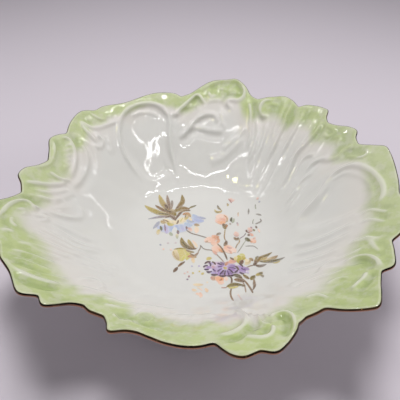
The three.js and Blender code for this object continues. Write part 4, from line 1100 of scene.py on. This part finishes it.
# ---------------------------------------------------------------------------------------------
# THE SMALL SPRIG. A few pale apricot touches under the posy, with a trail of faint dots beside
# them.
# ---------------------------------------------------------------------------------------------
SPRIG = [
    ([[-5, -47.4], [-1.6, -47.8], [2.4, -47.6]], 2.3, cream, (222, 196, 160)),
    ([[-5.6, -51.6], [-4, -52.6], [-2.2, -52.6]], 2.3, (232, 194, 158), cream),
    ([[3.4, -50.6], [4.6, -52.4], [4.8, -54.8]], 2.2, (236, 206, 172), (230, 196, 158)),
    ([[-3, -55.6], [-0.6, -56.8], [1.8, -57]], 2.6, (236, 196, 168), blush_pink),
    ([[0, -54.6], [0.6, -58], [0.4, -61]], 2.3, (232, 186, 156), blush_pink),
    ([[4.6, -45.2], [5.6, -46]], 1.4, cream, cream),
    ([[-2, -50], [0, -51], [1.6, -53]], 0.9, cream, blush_pink),
    ([[1, -37], [2.6, -38.4]], 2.4, honey, pale_olive),
    ([[-0.8, -35], [0, -36.4]], 1.4, honey, honey),
    ([[-5.4, -36.4], [-4.6, -38.2]], 1.5, pale_olive, honey),
    ([[-6.2, -30.2], [-5.6, -31.6]], 1.2, lilac, slate),
    ([[-1, -30], [-0.4, -31.4]], 1.2, pale_violet, lilac),
    ([[-7.8, -39.4], [-8, -41.4]], 1.2, rose, mauve),
    ([[-8.6, -42.4], [-9.2, -43.6]], 1.5, mauve, mauve),
    ([[-11.4, -37], [-10.6, -38.2]], 1.1, rose, blush_pink),
    ([[-9.4, -36], [-8.2, -36.8]], 1.1, rose, blush_pink),
]
lay_print("sprig_print", SPRIG, enamel("sprig_enamel", 0.2), "sprig_transfer")

# ---------------------------------------------------------------------------------------------
# THE STAGE. A plain pale sheet that the bowl stands on, swept up behind it. Three soft lamps light
# the bowl. Four thin tubes, a strip and a small warm bulb show only as reflections in its glaze.
# ---------------------------------------------------------------------------------------------
SHEET_HALF, SHEET_NEAR, BEND_START, BEND_RADIUS, SHEET_TOP = 12.0, -12.0, 1.1, 0.9, 3.0
sweep = [(SHEET_NEAR, 0.0), (BEND_START, 0.0)]
sweep += [(BEND_START + BEND_RADIUS * math.sin(a), BEND_RADIUS * (1 - math.cos(a)))
          for a in np.linspace(0.1, math.pi / 2, 12)]
sweep += [(BEND_START + BEND_RADIUS, SHEET_TOP)]
sheet_points = [(x, y, z) for y, z in sweep for x in (-SHEET_HALF, SHEET_HALF)]
sheet_faces = [(2 * k, 2 * k + 1, 2 * k + 3, 2 * k + 2) for k in range(len(sweep) - 1)]
sheet_mesh = bpy.data.meshes.new("backdrop")
sheet_mesh.from_pydata(sheet_points, [], sheet_faces)
sheet_mesh.polygons.foreach_set("use_smooth", np.ones(len(sheet_faces), bool))
sheet_material = new_material("pale_sheet")[0]
sheet_shader = sheet_material.node_tree.nodes["Principled BSDF"]
sheet_shader.inputs["Base Color"].default_value = srgb(212, 205, 213)
sheet_shader.inputs["Roughness"].default_value = 0.8
backdrop = add_piece("backdrop", sheet_mesh, sheet_material)


def lamp(name, place, tilt, size, power, colour, gloss_only):
    """A flat lamp facing down, tilted by some degrees. It lights things or shows in gloss, not both."""
    light = bpy.data.lights.new(name, "AREA")
    light.shape = "RECTANGLE"
    light.size, light.size_y = size
    light.energy = power
    light.color = colour
    holder = bpy.data.objects.new(name, light)
    holder.location = place
    holder.rotation_euler = [math.radians(turn) for turn in tilt]
    holder.visible_glossy = gloss_only
    holder.visible_diffuse = not gloss_only
    bpy.context.collection.objects.link(holder)
    return holder


LAMP_HEIGHT, TUBE = 0.51, 0.005
LAMP_LEFT, LAMP_RIGHT, LAMP_NEAR, LAMP_FAR = -0.29, 0.22, -0.125, 0.14
MIDDLE_X, MIDDLE_Y = (LAMP_LEFT + LAMP_RIGHT) / 2, (LAMP_NEAR + LAMP_FAR) / 2
TUBE_ACROSS = (LAMP_RIGHT - LAMP_LEFT, TUBE)
TUBE_ALONG = (TUBE, LAMP_FAR - LAMP_NEAR)
LEVEL, WHITE = (0, 0, 0), (1, 1, 1)

# Each lamp: name, place, tilt in degrees, size, watts, colour.
SOFT_LAMPS = [
    ("soft_top", (-0.02, 0.17, 1.0), (-2, 0, 0), (0.36, 0.36), 7.3, (1.0, 0.995, 0.99)),
    ("soft_left", (-0.62, 0.0, 0.4), (0, -62, 0), (0.3, 0.3), 0.8, (1.0, 0.985, 1.0)),
    ("soft_right", (0.62, 0.0, 0.4), (0, 62, 0), (0.3, 0.3), 1.25, (1.0, 0.985, 1.0)),
]
GLOSS_LAMPS = [
    ("tube_near", (MIDDLE_X, LAMP_NEAR, LAMP_HEIGHT), LEVEL, TUBE_ACROSS, 0.42, WHITE),
    ("tube_far", (MIDDLE_X, LAMP_FAR, LAMP_HEIGHT), LEVEL, TUBE_ACROSS, 0.42, WHITE),
    ("tube_left", (LAMP_LEFT, MIDDLE_Y, LAMP_HEIGHT), LEVEL, TUBE_ALONG, 0.09, WHITE),
    ("tube_right", (LAMP_RIGHT, MIDDLE_Y, LAMP_HEIGHT), LEVEL, TUBE_ALONG, 0.2, WHITE),
    ("strip_right", (0.85, 0.8, 0.6), (-52, 0, 0), (0.5, 0.012), 0.35, WHITE),
    ("warm_bulb", (-0.2, -0.03, LAMP_HEIGHT), LEVEL, (0.022, 0.03), 0.09, (1.0, 0.93, 0.35)),
]
for settings in SOFT_LAMPS:
    lamp(*settings, gloss_only=False)
for settings in GLOSS_LAMPS:
    lamp(*settings, gloss_only=True)

ROOM_COLOUR, ROOM_STRENGTH = (0.86, 0.84, 0.88, 1.0), 0.145
world = bpy.data.worlds.new("room")
world.use_nodes = True
world.node_tree.nodes["Background"].inputs["Color"].default_value = ROOM_COLOUR
world.node_tree.nodes["Background"].inputs["Strength"].default_value = ROOM_STRENGTH
bpy.context.scene.world = world
bpy.context.scene.view_settings.view_transform = "Standard"
